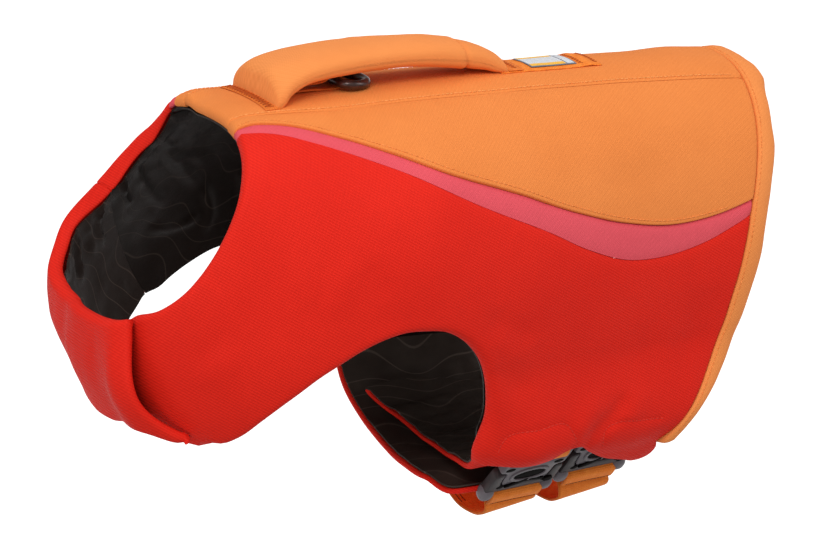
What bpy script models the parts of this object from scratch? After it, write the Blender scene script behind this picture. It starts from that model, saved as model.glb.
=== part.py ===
"""Dog life jacket, worn form, open at the neck, the legs and the rear.

Frame: +Z up, the dog faces -X, its left side is -Y.  Origin: inner top of the back at mid length.
Lengths below are millimetres; SCALE turns them into metres when an object is made.
Cloth is drafted on one body form.  A point of a pattern piece is (u, r): u runs from the neck opening (0)
to the rear opening (1), r from the spine (0) round the left side to the middle of the belly (1) and on
round to the right side (2 - r).  Pieces of the right side mirror those of the left.
"""
import math
import bpy
import bmesh
import numpy as np
from mathutils import Vector
from mathutils.geometry import delaunay_2d_cdt

SCALE = 0.001
PATTERN = 360.0          # millimetres of cloth for one unit of u or r, near enough for drafting
LATTICE_U, LATTICE_R = 24.0, 15.0
SEAM_GAP = 0.3

LINING = 1.2             # lining thickness
PANEL_IN, PANEL_OUT = 2.0, 10.0      # foam panel between these heights above the form
STRIPE_OUT = 9.4
BELLY_T = 4.8            # padded belly flap, without its lining
HEM_T = 3.8              # unpadded hem below the stitch line
TRIM_W = 11.0
WEBBING_T = 1.8

STRAP_W = 38.0
STRAPS = [   # name, x of the middle
    ("front", 3.0),
    ("rear", 59.0),
]

# ---------------------------------------------------------------- body form
# u, top x and z, bottom x and z, half width, height of the widest place (0 top, 1 bottom), roundness above and below it
FORM_COLUMNS = ("u", "top_x", "top_z", "bottom_x", "bottom_z", "half_w", "widest", "round_top", "round_bottom")
FORM = [
    (0.00, -183, 3.0, -257,  -99,  76, 0.52, 2.70, 2.9),
    (0.12, -150, 4.0, -254, -146,  88, 0.50, 2.50, 2.8),
    (0.25, -112, 3.0, -228, -190, 101, 0.50, 2.40, 2.6),
    (0.40,  -70, 2.0, -160, -222, 109, 0.48, 2.30, 2.5),
    (0.55,  -20, 0.5,  -80, -238, 105, 0.48, 2.15, 2.4),
    (0.70,   40, -2.0,   2, -244,  95, 0.48, 2.05, 2.4),
    (0.85,  112, -7.0,  66, -247,  84, 0.49, 2.00, 2.5),
    (1.00,  192, -13.0, 119, -250,  77, 0.50, 2.00, 2.6),
]

# ---------------------------------------------------------------- seams and edges, (u, r) each
SPINE_SEAM = [(0.00, 0.118), (0.13, 0.109), (0.30, 0.099), (0.45, 0.094), (0.62, 0.092), (0.80, 0.090), (1.00, 0.090)]
STRIPE_TOP = [(0.00, 0.165), (0.045, 0.150), (0.095, 0.148), (0.225, 0.177), (0.325, 0.208), (0.43, 0.245),
              (0.58, 0.288), (0.67, 0.323), (0.76, 0.349), (0.845, 0.359), (0.915, 0.349), (1.00, 0.315)]
STRIPE_LOW = [(0.00, 0.190), (0.08, 0.182), (0.165, 0.195), (0.325, 0.236), (0.475, 0.292), (0.62, 0.349), (0.695, 0.388),
              (0.76, 0.411), (0.835, 0.413), (0.90, 0.396), (1.00, 0.338)]
REAR_SEAM = [  # r, u of the seam between the panels and the rear trim
    (0.00, 0.985), (0.18, 0.986), (0.35, 0.976), (0.50, 0.970), (0.58, 0.964), (0.64, 0.948), (0.68, 0.928), (0.715, 0.903),
    (0.755, 0.880)]
ARCH = [  # leg opening in the side, from the rear corner at the belly over the top to the chest
    (0.590, 0.752), (0.578, 0.722), (0.573, 0.692), (0.571, 0.660), (0.564, 0.620), (0.553, 0.585), (0.538, 0.555), (0.518, 0.530),
    (0.493, 0.509), (0.462, 0.495), (0.430, 0.489), (0.400, 0.492), (0.370, 0.505), (0.340, 0.530), (0.318, 0.557),
    (0.300, 0.583), (0.284, 0.615), (0.270, 0.648), (0.258, 0.684), (0.248, 0.720), (0.236, 0.752)]
HEM_LEFT = [  # lower edge of the left side, from the rear trim forward to the arch, two lobes over the two buckles
    (0.880, 0.755), (0.884, 0.778), (0.874, 0.792), (0.852, 0.793), (0.825, 0.782), (0.778, 0.766), (0.744, 0.742),
    (0.712, 0.718), (0.692, 0.720), (0.676, 0.733), (0.644, 0.740), (0.616, 0.744), (0.590, 0.752)]
HEM_RIGHT = [  # the same on the right side, which lies close to the body
    (0.880, 0.755), (0.886, 0.795), (0.874, 0.824), (0.850, 0.832), (0.810, 0.806), (0.775, 0.772), (0.755, 0.764),
    (0.735, 0.776), (0.705, 0.796), (0.675, 0.800), (0.640, 0.786), (0.610, 0.766)]
ARM_END = [  # end of the near side's chest arm, hidden under the chest flap
    (0.215, 0.785), (0.195, 0.830), (0.180, 0.880), (0.168, 0.925), (0.120, 0.935), (0.060, 0.935), (0.000, 0.930)]
CHEST_SEAM = [(0.000, 0.500), (0.100, 0.520), (0.200, 0.560), (0.285, 0.612)]     # far side, neck to arch
FLAP_END = [(0.000, 0.772), (0.050, 0.785), (0.090, 0.798), (0.125, 0.808), (0.160, 0.806), (0.195, 0.792)]
FLAP_LOW = [  # lower edge of the chest flap, near end to the far seam
    (0.212, 0.792), (0.206, 0.822), (0.188, 0.868), (0.176, 0.930), (0.172, 1.000), (0.176, 1.070), (0.188, 1.130),
    (0.206, 1.180), (0.224, 1.222), (0.240, 1.262), (0.253, 1.303), (0.266, 1.344), (0.285, 1.388)]
BELLY_INNER = [  # left belly flap, sewn inside the left side at r 0.70
    (0.600, 0.700), (0.618, 0.800), (0.636, 0.900), (0.642, 1.000), (0.640, 1.080), (0.630, 1.150), (0.632, 1.180),
    (0.650, 1.192), (0.760, 1.180), (0.870, 1.165), (0.905, 1.140), (0.915, 1.050), (0.915, 0.900), (0.905, 0.780), (0.890, 0.700)]
BELLY_OUTER = [  # right belly flap, sewn inside the right side, its free end on the left
    (0.588, 1.300), (0.592, 1.230), (0.600, 1.150), (0.604, 1.070), (0.606, 1.000), (0.612, 0.940), (0.630, 0.892),
    (0.660, 0.876), (0.780, 0.874), (0.890, 0.878), (0.925, 0.900), (0.935, 0.980), (0.932, 1.100), (0.920, 1.220), (0.900, 1.300)]


def curve(table, x):
    """Smooth curve through a table's rows: first column to the others."""
    t = np.asarray(table, float)
    xs, ys = t[:, 0], t[:, 1:]
    h = np.diff(xs)[:, None]
    d = np.diff(ys, axis=0) / h
    m = np.empty_like(ys)
    m[:] = d[0]
    if len(xs) > 2:
        m[1:-1] = (h[1:] * d[:-1] + h[:-1] * d[1:]) / (h[1:] + h[:-1])
        m[0] = 1.5 * d[0] - 0.5 * m[1]
        m[-1] = 1.5 * d[-1] - 0.5 * m[-2]
    x = np.atleast_1d(np.asarray(x, float))
    i = np.clip(np.searchsorted(xs, x, side="right") - 1, 0, len(xs) - 2)
    k = ((x - xs[i]) / (xs[i + 1] - xs[i]))[:, None]
    k2, k3 = k * k, k ** 3
    return ((2 * k3 - 3 * k2 + 1) * ys[i] + (k3 - 2 * k2 + k) * h[i] * m[i]
            + (3 * k2 - 2 * k3) * ys[i + 1] + (k3 - k2) * h[i] * m[i + 1])


def smooth(x, a, b):
    t = np.clip((np.asarray(x, float) - a) / (b - a), 0, 1)
    return t * t * (3 - 2 * t)


NU, NR = 321, 241


def form_grid():
    us = np.linspace(0, 1, NU)
    xt, zt, xb, zb, w, q, nt, nb = [c[:, None] for c in curve(FORM, us).T]
    a = np.pi / 4 * (1 - np.cos(np.pi * np.linspace(0, 1, 400)))[None, :]
    y = np.concatenate([w * np.sin(a) ** (2 / nt), (w * np.cos(a) ** (2 / nb))[:, 1:]], 1)
    h = np.concatenate([q * (1 - np.cos(a) ** (2 / nt)), (q + (1 - q) * np.sin(a) ** (2 / nb))[:, 1:]], 1)
    x, z = xt + (xb - xt) * h, zt + (zb - zt) * h
    s = np.concatenate([np.zeros((NU, 1)), np.cumsum(np.sqrt(np.diff(x) ** 2 + np.diff(y) ** 2 + np.diff(z) ** 2), 1)], 1)
    r = np.linspace(0, 1, NR)
    return np.stack([np.stack([np.interp(r * s[k, -1], s[k], c[k]) for c in (x, y, z)], -1) for k in range(NU)])


GRID = form_grid()


def base(u, r):
    u, r = np.broadcast_arrays(np.asarray(u, float), np.asarray(r, float))
    side = np.where(r >= 0, -1.0, 1.0)
    a = np.abs(r)
    side = np.where(a > 1, -side, side)
    a = np.where(a > 1, 2 - a, a)
    uc = np.clip(u, 0, 1)
    fu, fr = uc * (NU - 1), np.clip(a, 0, 1) * (NR - 1)
    i, j = np.minimum(fu.astype(int), NU - 2), np.minimum(fr.astype(int), NR - 2)
    du, dr = (fu - i)[..., None], (fr - j)[..., None]
    p = ((GRID[i, j] * (1 - dr) + GRID[i, j + 1] * dr) * (1 - du)
         + (GRID[i + 1, j] * (1 - dr) + GRID[i + 1, j + 1] * dr) * du)
    ia, ib = np.where(u > 1, NU - 1, 8), np.where(u > 1, NU - 9, 0)
    step = (GRID[ia, j] - GRID[ib, j]) * (1 - dr) + (GRID[ia, j + 1] - GRID[ib, j + 1]) * dr
    p = p + (u - uc)[..., None] * step * (NU - 1) / 8
    p[..., 1] *= side
    return p


def surf(u, r, d):
    """Point of the form at (u, r), moved out by d along the form's normal."""
    u, r, d = np.broadcast_arrays(np.asarray(u, float), np.asarray(r, float), np.asarray(d, float))
    e = 0.012
    n = np.cross(base(u, r + e) - base(u, r - e), base(u + e, r) - base(u - e, r))
    n = n / np.linalg.norm(n, axis=-1, keepdims=True)
    return base(u, r) + n * d[..., None]


# ---------------------------------------------------------------- heights above the form
def hem_flare(u, r):
    """The left side's hem stands away from the body over the buckles."""
    return 18.8 * smooth(r, 0.570, 0.735) * smooth(u, 0.545, 0.655) * (1 - 0.5 * smooth(u, 0.91, 0.99))


def arm_lift(u, r):
    """The chest flap lies on the near arm's end, and comes down to the body past it."""
    return 9.2 * (1 - smooth(r, 0.98, 1.16))


def inner_flap(u, r):
    return -3.9 - 3.0 * smooth(r, 0.80, 0.90) - 2.2 * smooth(r, 0.92, 1.02) - 3.6 * smooth(r, 1.02, 1.12)


def outer_flap(u, r):
    return -4.0 * smooth(r, 0.99, 1.12) + 1.0


# ---------------------------------------------------------------- making objects
def clear_scene():
    for ob in list(bpy.data.objects):
        bpy.data.objects.remove(ob, do_unlink=True)


def material(name, colour, roughness, metallic=0.0):
    m = bpy.data.materials.get(name)
    if m is None:
        m = bpy.data.materials.new(name)
        m.use_nodes = True
        b = m.node_tree.nodes["Principled BSDF"]
        b.inputs["Base Color"].default_value = (*[(c / 255.0) ** 2.2 for c in colour], 1)
        b.inputs["Roughness"].default_value = roughness
        b.inputs["Metallic"].default_value = metallic
    return m


MATERIALS = {
    "orange_cloth": ((240, 138, 66), 0.75), "red_cloth": ((212, 42, 34), 0.75), "pink_cloth": ((208, 78, 92), 0.75),
    "black_lining": ((30, 25, 23), 0.5), "orange_webbing": ((228, 126, 52), 0.65), "grey_plastic": ((96, 90, 94), 0.45),
    "label_cloth": ((206, 208, 212), 0.7), "dark_metal": ((62, 44, 42), 0.4),
}


def make_object(name, verts, faces, mat, smooth_angle=None):
    me = bpy.data.meshes.new(name)
    me.from_pydata([tuple(v) for v in np.asarray(verts, float) * SCALE], [], [tuple(f) for f in faces])
    bm = bmesh.new()
    bm.from_mesh(me)
    bmesh.ops.recalc_face_normals(bm, faces=bm.faces)
    if bm.calc_volume(signed=True) < 0:
        bmesh.ops.reverse_faces(bm, faces=bm.faces)
    bm.to_mesh(me)
    bm.free()
    if smooth_angle:
        me.shade_smooth()
        me.set_sharp_from_angle(angle=math.radians(smooth_angle))
    colour, rough = MATERIALS[mat]
    me.materials.append(material(mat, colour, rough, 1.0 if mat == "dark_metal" else 0.0))
    ob = bpy.data.objects.new(name, me)
    bpy.context.collection.objects.link(ob)
    return ob


def resample(points, step=15.0, closed=False):
    """Points of a smooth curve through the given (u, r) rows, about one step of cloth apart."""
    p = np.asarray(points, float)
    s = np.concatenate([[0], np.cumsum(np.hypot(*np.diff(p, axis=0).T) * PATTERN)])
    n = max(1, int(round(s[-1] / step)))
    return curve(np.column_stack([s, p]), np.linspace(0, s[-1], n + 1))


def outline(*edges, step=15.0):
    """Closed outline of a pattern piece from its edges, each a smooth curve; corners stay sharp."""
    pts = []
    for e in edges:
        q = resample(e, step)
        if pts and np.hypot(*(q[0] - pts[-1])) * PATTERN < 2.0:
            q = q[1:]
        pts.extend(q)
    if np.hypot(*(pts[0] - pts[-1])) * PATTERN < 2.0:
        pts.pop()
    return np.array(pts)


def inside(poly, pts):
    x, y = pts[:, 0], pts[:, 1]
    res = np.zeros(len(pts), bool)
    for (x0, y0), (x1, y1) in zip(poly, np.roll(poly, -1, axis=0)):
        c = (y0 > y) != (y1 > y)
        with np.errstate(divide="ignore", invalid="ignore"):
            res ^= c & (x < (x1 - x0) * (y - y0) / (y1 - y0) + x0)
    return res


def edge_distance(poly, pts):
    best = np.full(len(pts), 1e9)
    for a, b in zip(poly, np.roll(poly, -1, axis=0)):
        ab = b - a
        t = np.clip(((pts - a) @ ab) / (ab @ ab), 0, 1)
        best = np.minimum(best, np.hypot(*(pts - a - t[:, None] * ab).T))
    return best


def shrink(poly, d):
    """Outline moved in by d, all round."""
    a, b = np.roll(poly, 1, axis=0), np.roll(poly, -1, axis=0)
    area = np.sum(poly[:, 0] * b[:, 1] - b[:, 0] * poly[:, 1])
    e0, e1 = poly - a, b - poly
    n0 = np.column_stack([-e0[:, 1], e0[:, 0]]) / np.hypot(*e0.T)[:, None]
    n1 = np.column_stack([-e1[:, 1], e1[:, 0]]) / np.hypot(*e1.T)[:, None]
    n = n0 + n1
    n = n / (np.sum(n * n0, axis=1))[:, None].clip(0.35)
    return poly + n * (d if area > 0 else -d)


def cloth_panel(name, edge, low, high, mat, inset=SEAM_GAP / 2):
    """A pattern piece: its outline filled with triangles, twice, at two heights above the form, and walled round."""
    poly = shrink(edge * PATTERN, inset)
    lo, hi = poly.min(axis=0), poly.max(axis=0)
    rows = np.arange(math.floor(lo[1] / LATTICE_R), math.ceil(hi[1] / LATTICE_R) + 1)
    cols = np.arange(math.floor(lo[0] / LATTICE_U) - 1, math.ceil(hi[0] / LATTICE_U) + 1)
    pts = np.array([((c + 0.5 * (k % 2)) * LATTICE_U, k * LATTICE_R) for k in rows for c in cols], float)
    pts = pts[inside(poly, pts)]
    if len(pts):
        pts = pts[edge_distance(poly, pts) > 0.48 * LATTICE_R]
    allp = np.vstack([poly, pts]) if len(pts) else poly
    n = len(poly)
    v2, _e, tris, ov, _oe, _of = delaunay_2d_cdt([Vector(p) for p in allp], [(i, (i + 1) % n) for i in range(n)], [], 1, 1e-6)
    q = np.array([tuple(v) for v in v2]) / PATTERN
    u, r = q[:, 0], q[:, 1]
    verts = np.vstack([surf(u, r, low(u, r)), surf(u, r, high(u, r))])
    m = len(q)
    faces, count = [], {}
    for t in tris:
        t = list(t)
        faces.append(t[::-1])
        faces.append([k + m for k in t])
        for a, b in zip(t, t[1:] + t[:1]):
            count[(a, b)] = count.get((a, b), 0) + 1
    for (a, b) in list(count):
        if (b, a) not in count:
            faces.append([a, b, b + m])
            faces.append([a, b + m, a + m])
    return make_object(name, verts, faces, mat, 50)


def flat(h):
    return lambda u, r: np.full(np.shape(u), float(h))


def above(f, h):
    return lambda u, r: f(u, r) + h


def between(f, r0, r1, **k):
    return [(float(curve([(b, a) for a, b in f], [t])[0, 0]), t) for t in np.linspace(r0, r1, 7)]


def rear(r):
    return float(curve(REAR_SEAM, [abs(r)])[0, 0])


def rear_edge(r0, r1, n=5):
    return [(rear(t), t) for t in np.linspace(r0, r1, n)]


def cut(table, u_end):
    """Rows of a seam from the neck to where it meets the rear trim."""
    rows = [p for p in table if p[0] < u_end - 0.02]
    return rows + [(u_end, float(curve(table, [u_end])[0, 0]))]


def meet(table):
    """Where a seam reaches the rear trim."""
    u = 0.98
    for _ in range(6):
        u = rear(float(curve(table, [u])[0, 0]))
    return u, float(curve(table, [u])[0, 0])


def flip(edge):
    """The same outline on the other side: r to -r."""
    return np.column_stack([edge[:, 0], -edge[:, 1]])


# ---------------------------------------------------------------- cloth
def build_cloth():
    us, rs = meet(SPINE_SEAM)
    ut, rt = meet(STRIPE_TOP)
    ul, rl = meet(STRIPE_LOW)
    seam, top, low = cut(SPINE_SEAM, us), cut(STRIPE_TOP, ut), cut(STRIPE_LOW, ul)

    def mirrored(rows):
        return [(u, -r) for u, r in rows]

    spine = outline(seam, rear_edge(rs, -rs), mirrored(seam)[::-1], [(0, -seam[0][1]), (0, seam[0][1])])
    back = outline(top, rear_edge(rt, rs), seam[::-1], [(0, seam[0][1]), (0, top[0][1])])
    stripe = outline(low, rear_edge(rl, rt, 3), top[::-1], [(0, top[0][1]), (0, low[0][1])])
    lining_back = outline(low, rear_edge(rl, -rl, 13), mirrored(low)[::-1], [(0, -low[0][1]), (0, low[0][1])])
    left = outline(low, rear_edge(rl, 0.755, 9), HEM_LEFT, ARCH, ARM_END, [(0, 0.930), (0, low[0][1])])
    chest_cut = [p for p in ARCH if p[1] < 0.612 or p[0] > 0.4] + [(0.285, 0.612)]
    right = outline(low, rear_edge(rl, 0.755, 9), HEM_RIGHT, chest_cut, CHEST_SEAM[::-1], [(0, 0.500), (0, low[0][1])])
    flap = outline(FLAP_END, FLAP_LOW, [(u, 2 - r) for u, r in CHEST_SEAM[::-1]], [(0, 1.5), (0, 0.772)])
    inner = outline(BELLY_INNER, [BELLY_INNER[-1], BELLY_INNER[0]])
    outer = outline(BELLY_OUTER, [BELLY_OUTER[-1], BELLY_OUTER[0]])

    def side_low(u, r):
        return PANEL_IN + hem_flare(u, r)

    def side_high(u, r):
        return (PANEL_OUT + hem_flare(u, r) - (PANEL_OUT - PANEL_IN - HEM_T) * smooth(r, 0.70, 0.76) * smooth(u, 0.50, 0.58)
                - 2.2 * smooth(r, 0.74, 0.80) * (1 - smooth(u, 0.30, 0.42)))

    def far(f):
        return lambda u, r: f(u, -r)

    def far_high(u, r):
        return PANEL_OUT - (PANEL_OUT - PANEL_IN - HEM_T) * smooth(-r, 0.70, 0.76) * smooth(u, 0.50, 0.58)

    cloth_panel("back_spine", spine, flat(PANEL_IN), flat(PANEL_OUT), "orange_cloth")
    cloth_panel("back_left", back, flat(PANEL_IN), flat(PANEL_OUT), "orange_cloth")
    cloth_panel("back_right", flip(back), flat(PANEL_IN), flat(PANEL_OUT), "orange_cloth")
    cloth_panel("stripe_left", stripe, flat(PANEL_IN), flat(STRIPE_OUT), "pink_cloth")
    cloth_panel("stripe_right", flip(stripe), flat(PANEL_IN), flat(STRIPE_OUT), "pink_cloth")
    cloth_panel("side_left", left, side_low, side_high, "red_cloth")
    cloth_panel("side_right", flip(right), flat(PANEL_IN), far_high, "red_cloth")
    cloth_panel("chest_flap", flap, above(arm_lift, PANEL_IN), above(arm_lift, PANEL_OUT), "red_cloth")
    cloth_panel("lining_back", lining_back, flat(0), flat(LINING), "black_lining")
    cloth_panel("lining_left", left, hem_flare, above(hem_flare, LINING), "black_lining")
    cloth_panel("lining_right", flip(right), flat(0), flat(LINING), "black_lining")
    cloth_panel("lining_chest", flap, arm_lift, above(arm_lift, LINING), "black_lining")
    b = BELLY_T / 2
    cloth_panel("belly_left", inner, above(inner_flap, -b + 0.9), above(inner_flap, b), "red_cloth")
    cloth_panel("lining_belly_left", inner, above(inner_flap, -b - 1.0), above(inner_flap, -b), "black_lining")
    cloth_panel("belly_right", outer, above(outer_flap, -b + 0.9), above(outer_flap, b), "red_cloth")
    cloth_panel("lining_belly_right", outer, above(outer_flap, -b - 1.0), above(outer_flap, -b), "black_lining")

    # rear trim: one band from hem to hem over the back
    n = 52
    rr = np.linspace(-0.752, 0.752, n + 1)
    u0 = np.array([rear(t) for t in rr]) + SEAM_GAP / PATTERN * 1.6
    lift = np.where(rr > 0, hem_flare(u0, rr), 0)
    # band width is the same in millimetres all the way round
    per_u = np.linalg.norm(base(u0, rr) - base(u0 - 0.02, rr), axis=1) / 0.02
    u1 = u0 + TRIM_W / per_u
    ring = np.stack([surf(u0, rr, lift), surf(u1, rr, lift + 0.8), surf(u1 + 0.4 / per_u, rr, lift + 5.0),
                     surf(u1, rr, lift + 9.4), surf(u0, rr, lift + 10.2)], axis=1)
    make_object("rear_trim", *sweep(ring), "orange_cloth", 50)


def sweep(rings, closed=False):
    """Skin over a row of equal outlines, with filled ends."""
    k, m = len(rings), len(rings[0])
    verts = np.concatenate(list(rings))
    faces = []
    for i in range(k if closed else k - 1):
        a, b = i * m, ((i + 1) % k) * m
        for j in range(m):
            j2 = (j + 1) % m
            faces.append([a + j, a + j2, b + j2, b + j])
    if not closed:
        faces.append(list(range(m))[::-1])
        faces.append([(k - 1) * m + j for j in range(m)])
    return verts, faces


# ---------------------------------------------------------------- webbing
def ribbon(name, path, x_mid, width, thick, mat="orange_webbing", step=6.0):
    """Flat webbing whose length follows a path in the (y, z) plane."""
    p = np.asarray(path, float)
    s = np.concatenate([[0], np.cumsum(np.hypot(*np.diff(p, axis=0).T))])
    n = max(2, int(round(s[-1] / step)))
    q = curve(np.column_stack([s, p]), np.linspace(0, s[-1], n + 1))
    t = np.gradient(q, axis=0)
    t /= np.hypot(*t.T)[:, None]
    nrm = np.column_stack([-t[:, 1], t[:, 0]])
    rings = []
    for c, d in zip(q, nrm):
        a, b = c - d * thick / 2, c + d * thick / 2
        x0, x1 = x_mid - width / 2, x_mid + width / 2
        rings.append([(x0, *a), (x1, *a), (x1, *b), (x0, *b)])
    return make_object(name, *sweep(np.array(rings)), mat, 40)


def strip_on_back(name, x0, x1, width, low, high, mat, n=8, across=4, narrow=0.0):
    """Flat strip lying along the spine, from x0 to x1, between two heights above the back's form."""
    us = np.interp(np.linspace(x0, x1, n + 1), base(np.linspace(0, 1, 201), 0.0)[:, 0], np.linspace(0, 1, 201))
    rings = []
    for k, u in enumerate(us):
        w = (width - narrow * k / n) / 2
        g = np.linspace(-1, 1, across + 1)
        girth = np.linalg.norm(base(u, 0.02) - base(u, -0.02)) / 0.04
        rr = -g * w / girth
        rings.append(np.vstack([surf(u, rr, low), surf(u, rr[::-1], high)]))
    return make_object(name, *sweep(np.array(rings)), mat, 40)


# ---------------------------------------------------------------- handle
# x, z of the middle of the pad, half width, half thickness
HANDLE_COLUMNS = ("x", "z", "half_w", "half_t")
HANDLE = [
    (-155.0, 19.5, 28.0, 3.2), (-151.0, 25.0, 27.5, 6.5), (-143.0, 29.6, 26.5, 8.6), (-128.0, 32.0, 25.0, 9.2),
    (-105.0, 33.2, 23.0, 9.2), (-80.0, 33.4, 21.5, 9.0), (-55.0, 32.0, 20.5, 8.8), (-32.0, 29.0, 19.0, 8.4),
    (-12.0, 24.8, 17.0, 7.4), (4.0, 20.0, 15.5, 5.8), (15.0, 16.4, 14.5, 3.8), (20.0, 14.9, 14.0, 2.2)]


def build_handle():
    t = np.asarray(HANDLE)
    s = np.concatenate([[0], np.cumsum(np.hypot(*np.diff(t[:, :2], axis=0).T))])
    rows = curve(np.column_stack([s, t]), np.linspace(0, s[-1], 27))
    tang = np.gradient(rows[:, :2], axis=0)
    tang /= np.hypot(*tang.T)[:, None]
    rings = []
    for (x, z, w, h), (tx, tz) in zip(rows, tang):
        a = np.linspace(0, 2 * np.pi, 16, endpoint=False)
        yy = -w * np.sign(np.cos(a)) * np.abs(np.cos(a)) ** 0.75
        hh = h * np.sign(np.sin(a)) * np.abs(np.sin(a)) ** 0.8 + 2.2 * (1 - (yy / w) ** 2) * min(1, h / 8) - 1.1
        rings.append(np.column_stack([x - tz * hh, yy, z + tx * hh]))
    make_object("handle", *sweep(np.array(rings)), "orange_cloth", 60)


# ---------------------------------------------------------------- leash ring
RING_BAR_X, RING_Z = -99.0, 17.5
RING_LEN, RING_W, RING_D = 27.0, 34.0, 4.6
RING_TILT = math.radians(5.0)    # the ring rests with its free end lower
TAB_T = 1.4


def build_ring():
    """Rounded ring whose straight bar lies across the back, in the webbing tab's loop."""
    pts = []
    corner = 6.0
    half = RING_W / 2
    path = [(-0.0, -half + corner), (0.0, half - corner)]
    for k in range(1, 4):
        a = math.pi * 0.5 * k / 4
        path.append((corner * (1 - math.cos(a)), half - corner + corner * math.sin(a)))
    n = 9
    for k in range(n + 1):
        a = math.pi * (0.5 - k / n)
        path.append((RING_LEN - half * 0.82 + half * 0.82 * math.cos(a), half * math.sin(a)))
    for k in range(3, 0, -1):
        a = math.pi * 0.5 * k / 4
        path.append((corner * (1 - math.cos(a)), -half + corner - corner * math.sin(a)))
    p = np.array(path)
    rings = []
    for i in range(len(p)):
        t = p[(i + 1) % len(p)] - p[i - 1]
        t /= np.hypot(*t)
        nrm = np.array([-t[1], t[0]])
        a = np.linspace(0, 2 * np.pi, 10, endpoint=False)
        rings.append(np.column_stack([RING_BAR_X + p[i, 0] + nrm[0] * np.cos(a) * RING_D / 2,
                                      p[i, 1] + nrm[1] * np.cos(a) * RING_D / 2,
                                      np.full(10, RING_Z) + np.sin(a) * RING_D / 2]))
    for g in rings:
        g[:, 2] -= (g[:, 0] - RING_BAR_X) * math.tan(RING_TILT)
    ob = make_object("leash_ring", *sweep(np.array(rings), closed=True), "dark_metal", 60)
    # origin on the bar's axis
    off = Vector((RING_BAR_X * SCALE, 0, RING_Z * SCALE))
    for v in ob.data.vertices:
        v.co -= off
    ob.location = off


def build_ring_tab():
    """Narrow webbing that runs back from under the handle's front, turns round the ring's bar and returns on itself."""
    rad = RING_D / 2 + 0.35 + TAB_T / 2
    cx, cz = RING_BAR_X, RING_Z
    path = [(-145.0, 15.0), (-132.0, 14.9), (-118.0, 14.7), (cx - 8.0, cz - rad + 0.2), (cx - 3.0, cz - rad)]
    for k in range(0, 9):
        a = -math.pi / 2 + math.pi * k / 8
        path.append((cx + rad * math.cos(a), cz + rad * math.sin(a)))
    path += [(cx - 4.0, cz + rad - 0.3), (cx - 10.0, cz + 0.9), (cx - 17.0, cz - 0.6), (cx - 26.0, cz - 0.5)]
    p = np.array(path)
    t = np.gradient(p, axis=0)
    t /= np.hypot(*t.T)[:, None]
    rings = []
    for (x, z), (tx, tz) in zip(p, t):
        rings.append([(x + dz * -tz * TAB_T / 2, y, z + dz * tx * TAB_T / 2)
                      for y, dz in ((-9.5, -1), (9.5, -1), (9.5, 1), (-9.5, 1))])
    make_object("ring_tab", *sweep(np.array(rings)), "orange_webbing", 40)


# ---------------------------------------------------------------- buckles
BUCKLES = {   # (y, z) of the lower end, middle of the thickness; (y, z) direction up the girth, from the strap to the hem
    "front": ((-50.0, -249.0), (-0.68, 0.733)),
    "rear": ((-47.5, -249.5), (-0.64, 0.768)),
}
BUCKLE_T = 7.6
BUCKLE_W = 50.0


def buckle_axes(which):
    low, d = (np.array(v) for v in BUCKLES[which])
    d = d / np.hypot(*d)
    return low, d, np.array([d[1], -d[0]]) * (-1 if d[1] > 0 else 1)


def slab(name, loops, x_mid, which, mat="grey_plastic", t=BUCKLE_T):
    """Plate cut to an outline (first loop) with holes (the others), in the buckle's plane: w across, l along."""
    pts, edges = [], []
    for lp in loops:
        b = len(pts)
        pts += lp
        edges += [(b + i, b + (i + 1) % len(lp)) for i in range(len(lp))]
    v2, _e, tris, _a, _b, _c = delaunay_2d_cdt([Vector(p) for p in pts], edges, [], 2, 1e-6)
    v = np.array([tuple(p) for p in v2])
    # keep the triangles inside the outline and outside the holes
    mid = np.array([v[list(f)].mean(axis=0) for f in tris])
    keep = inside(np.array(loops[0], float), mid)
    for h in loops[1:]:
        keep &= ~inside(np.array(h, float), mid)
    tris = [list(f) for f, k in zip(tris, keep) if k]
    low, d, n = buckle_axes(which)

    def place(h):
        c = low + v[:, 1:2] * d + n * h
        return np.column_stack([x_mid + v[:, 0], c])
    verts = np.vstack([place(-t / 2), place(t / 2)])
    m = len(v)
    faces, count = [], set()
    for f in tris:
        faces.append(f[::-1])
        faces.append([k + m for k in f])
        count |= set(zip(f, f[1:] + f[:1]))
    for a, b in count:
        if (b, a) not in count:
            faces.append([a, b, b + m, a + m])
    return make_object(name, verts, faces, mat, 30)


def rounded(points, radius, n=3):
    """Outline with its corners rounded."""
    p = [np.array(q, float) for q in points]
    out = []
    for i, c in enumerate(p):
        a, b = p[i - 1] - c, p[(i + 1) % len(p)] - c
        ra = min(radius, 0.45 * np.hypot(*a), 0.45 * np.hypot(*b))
        a, b = c + a / np.hypot(*a) * ra, c + b / np.hypot(*b) * ra
        for k in range(n + 1):
            t = k / n
            out.append(tuple((1 - t) ** 2 * a + 2 * t * (1 - t) * c + t * t * b))
    return out


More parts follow.
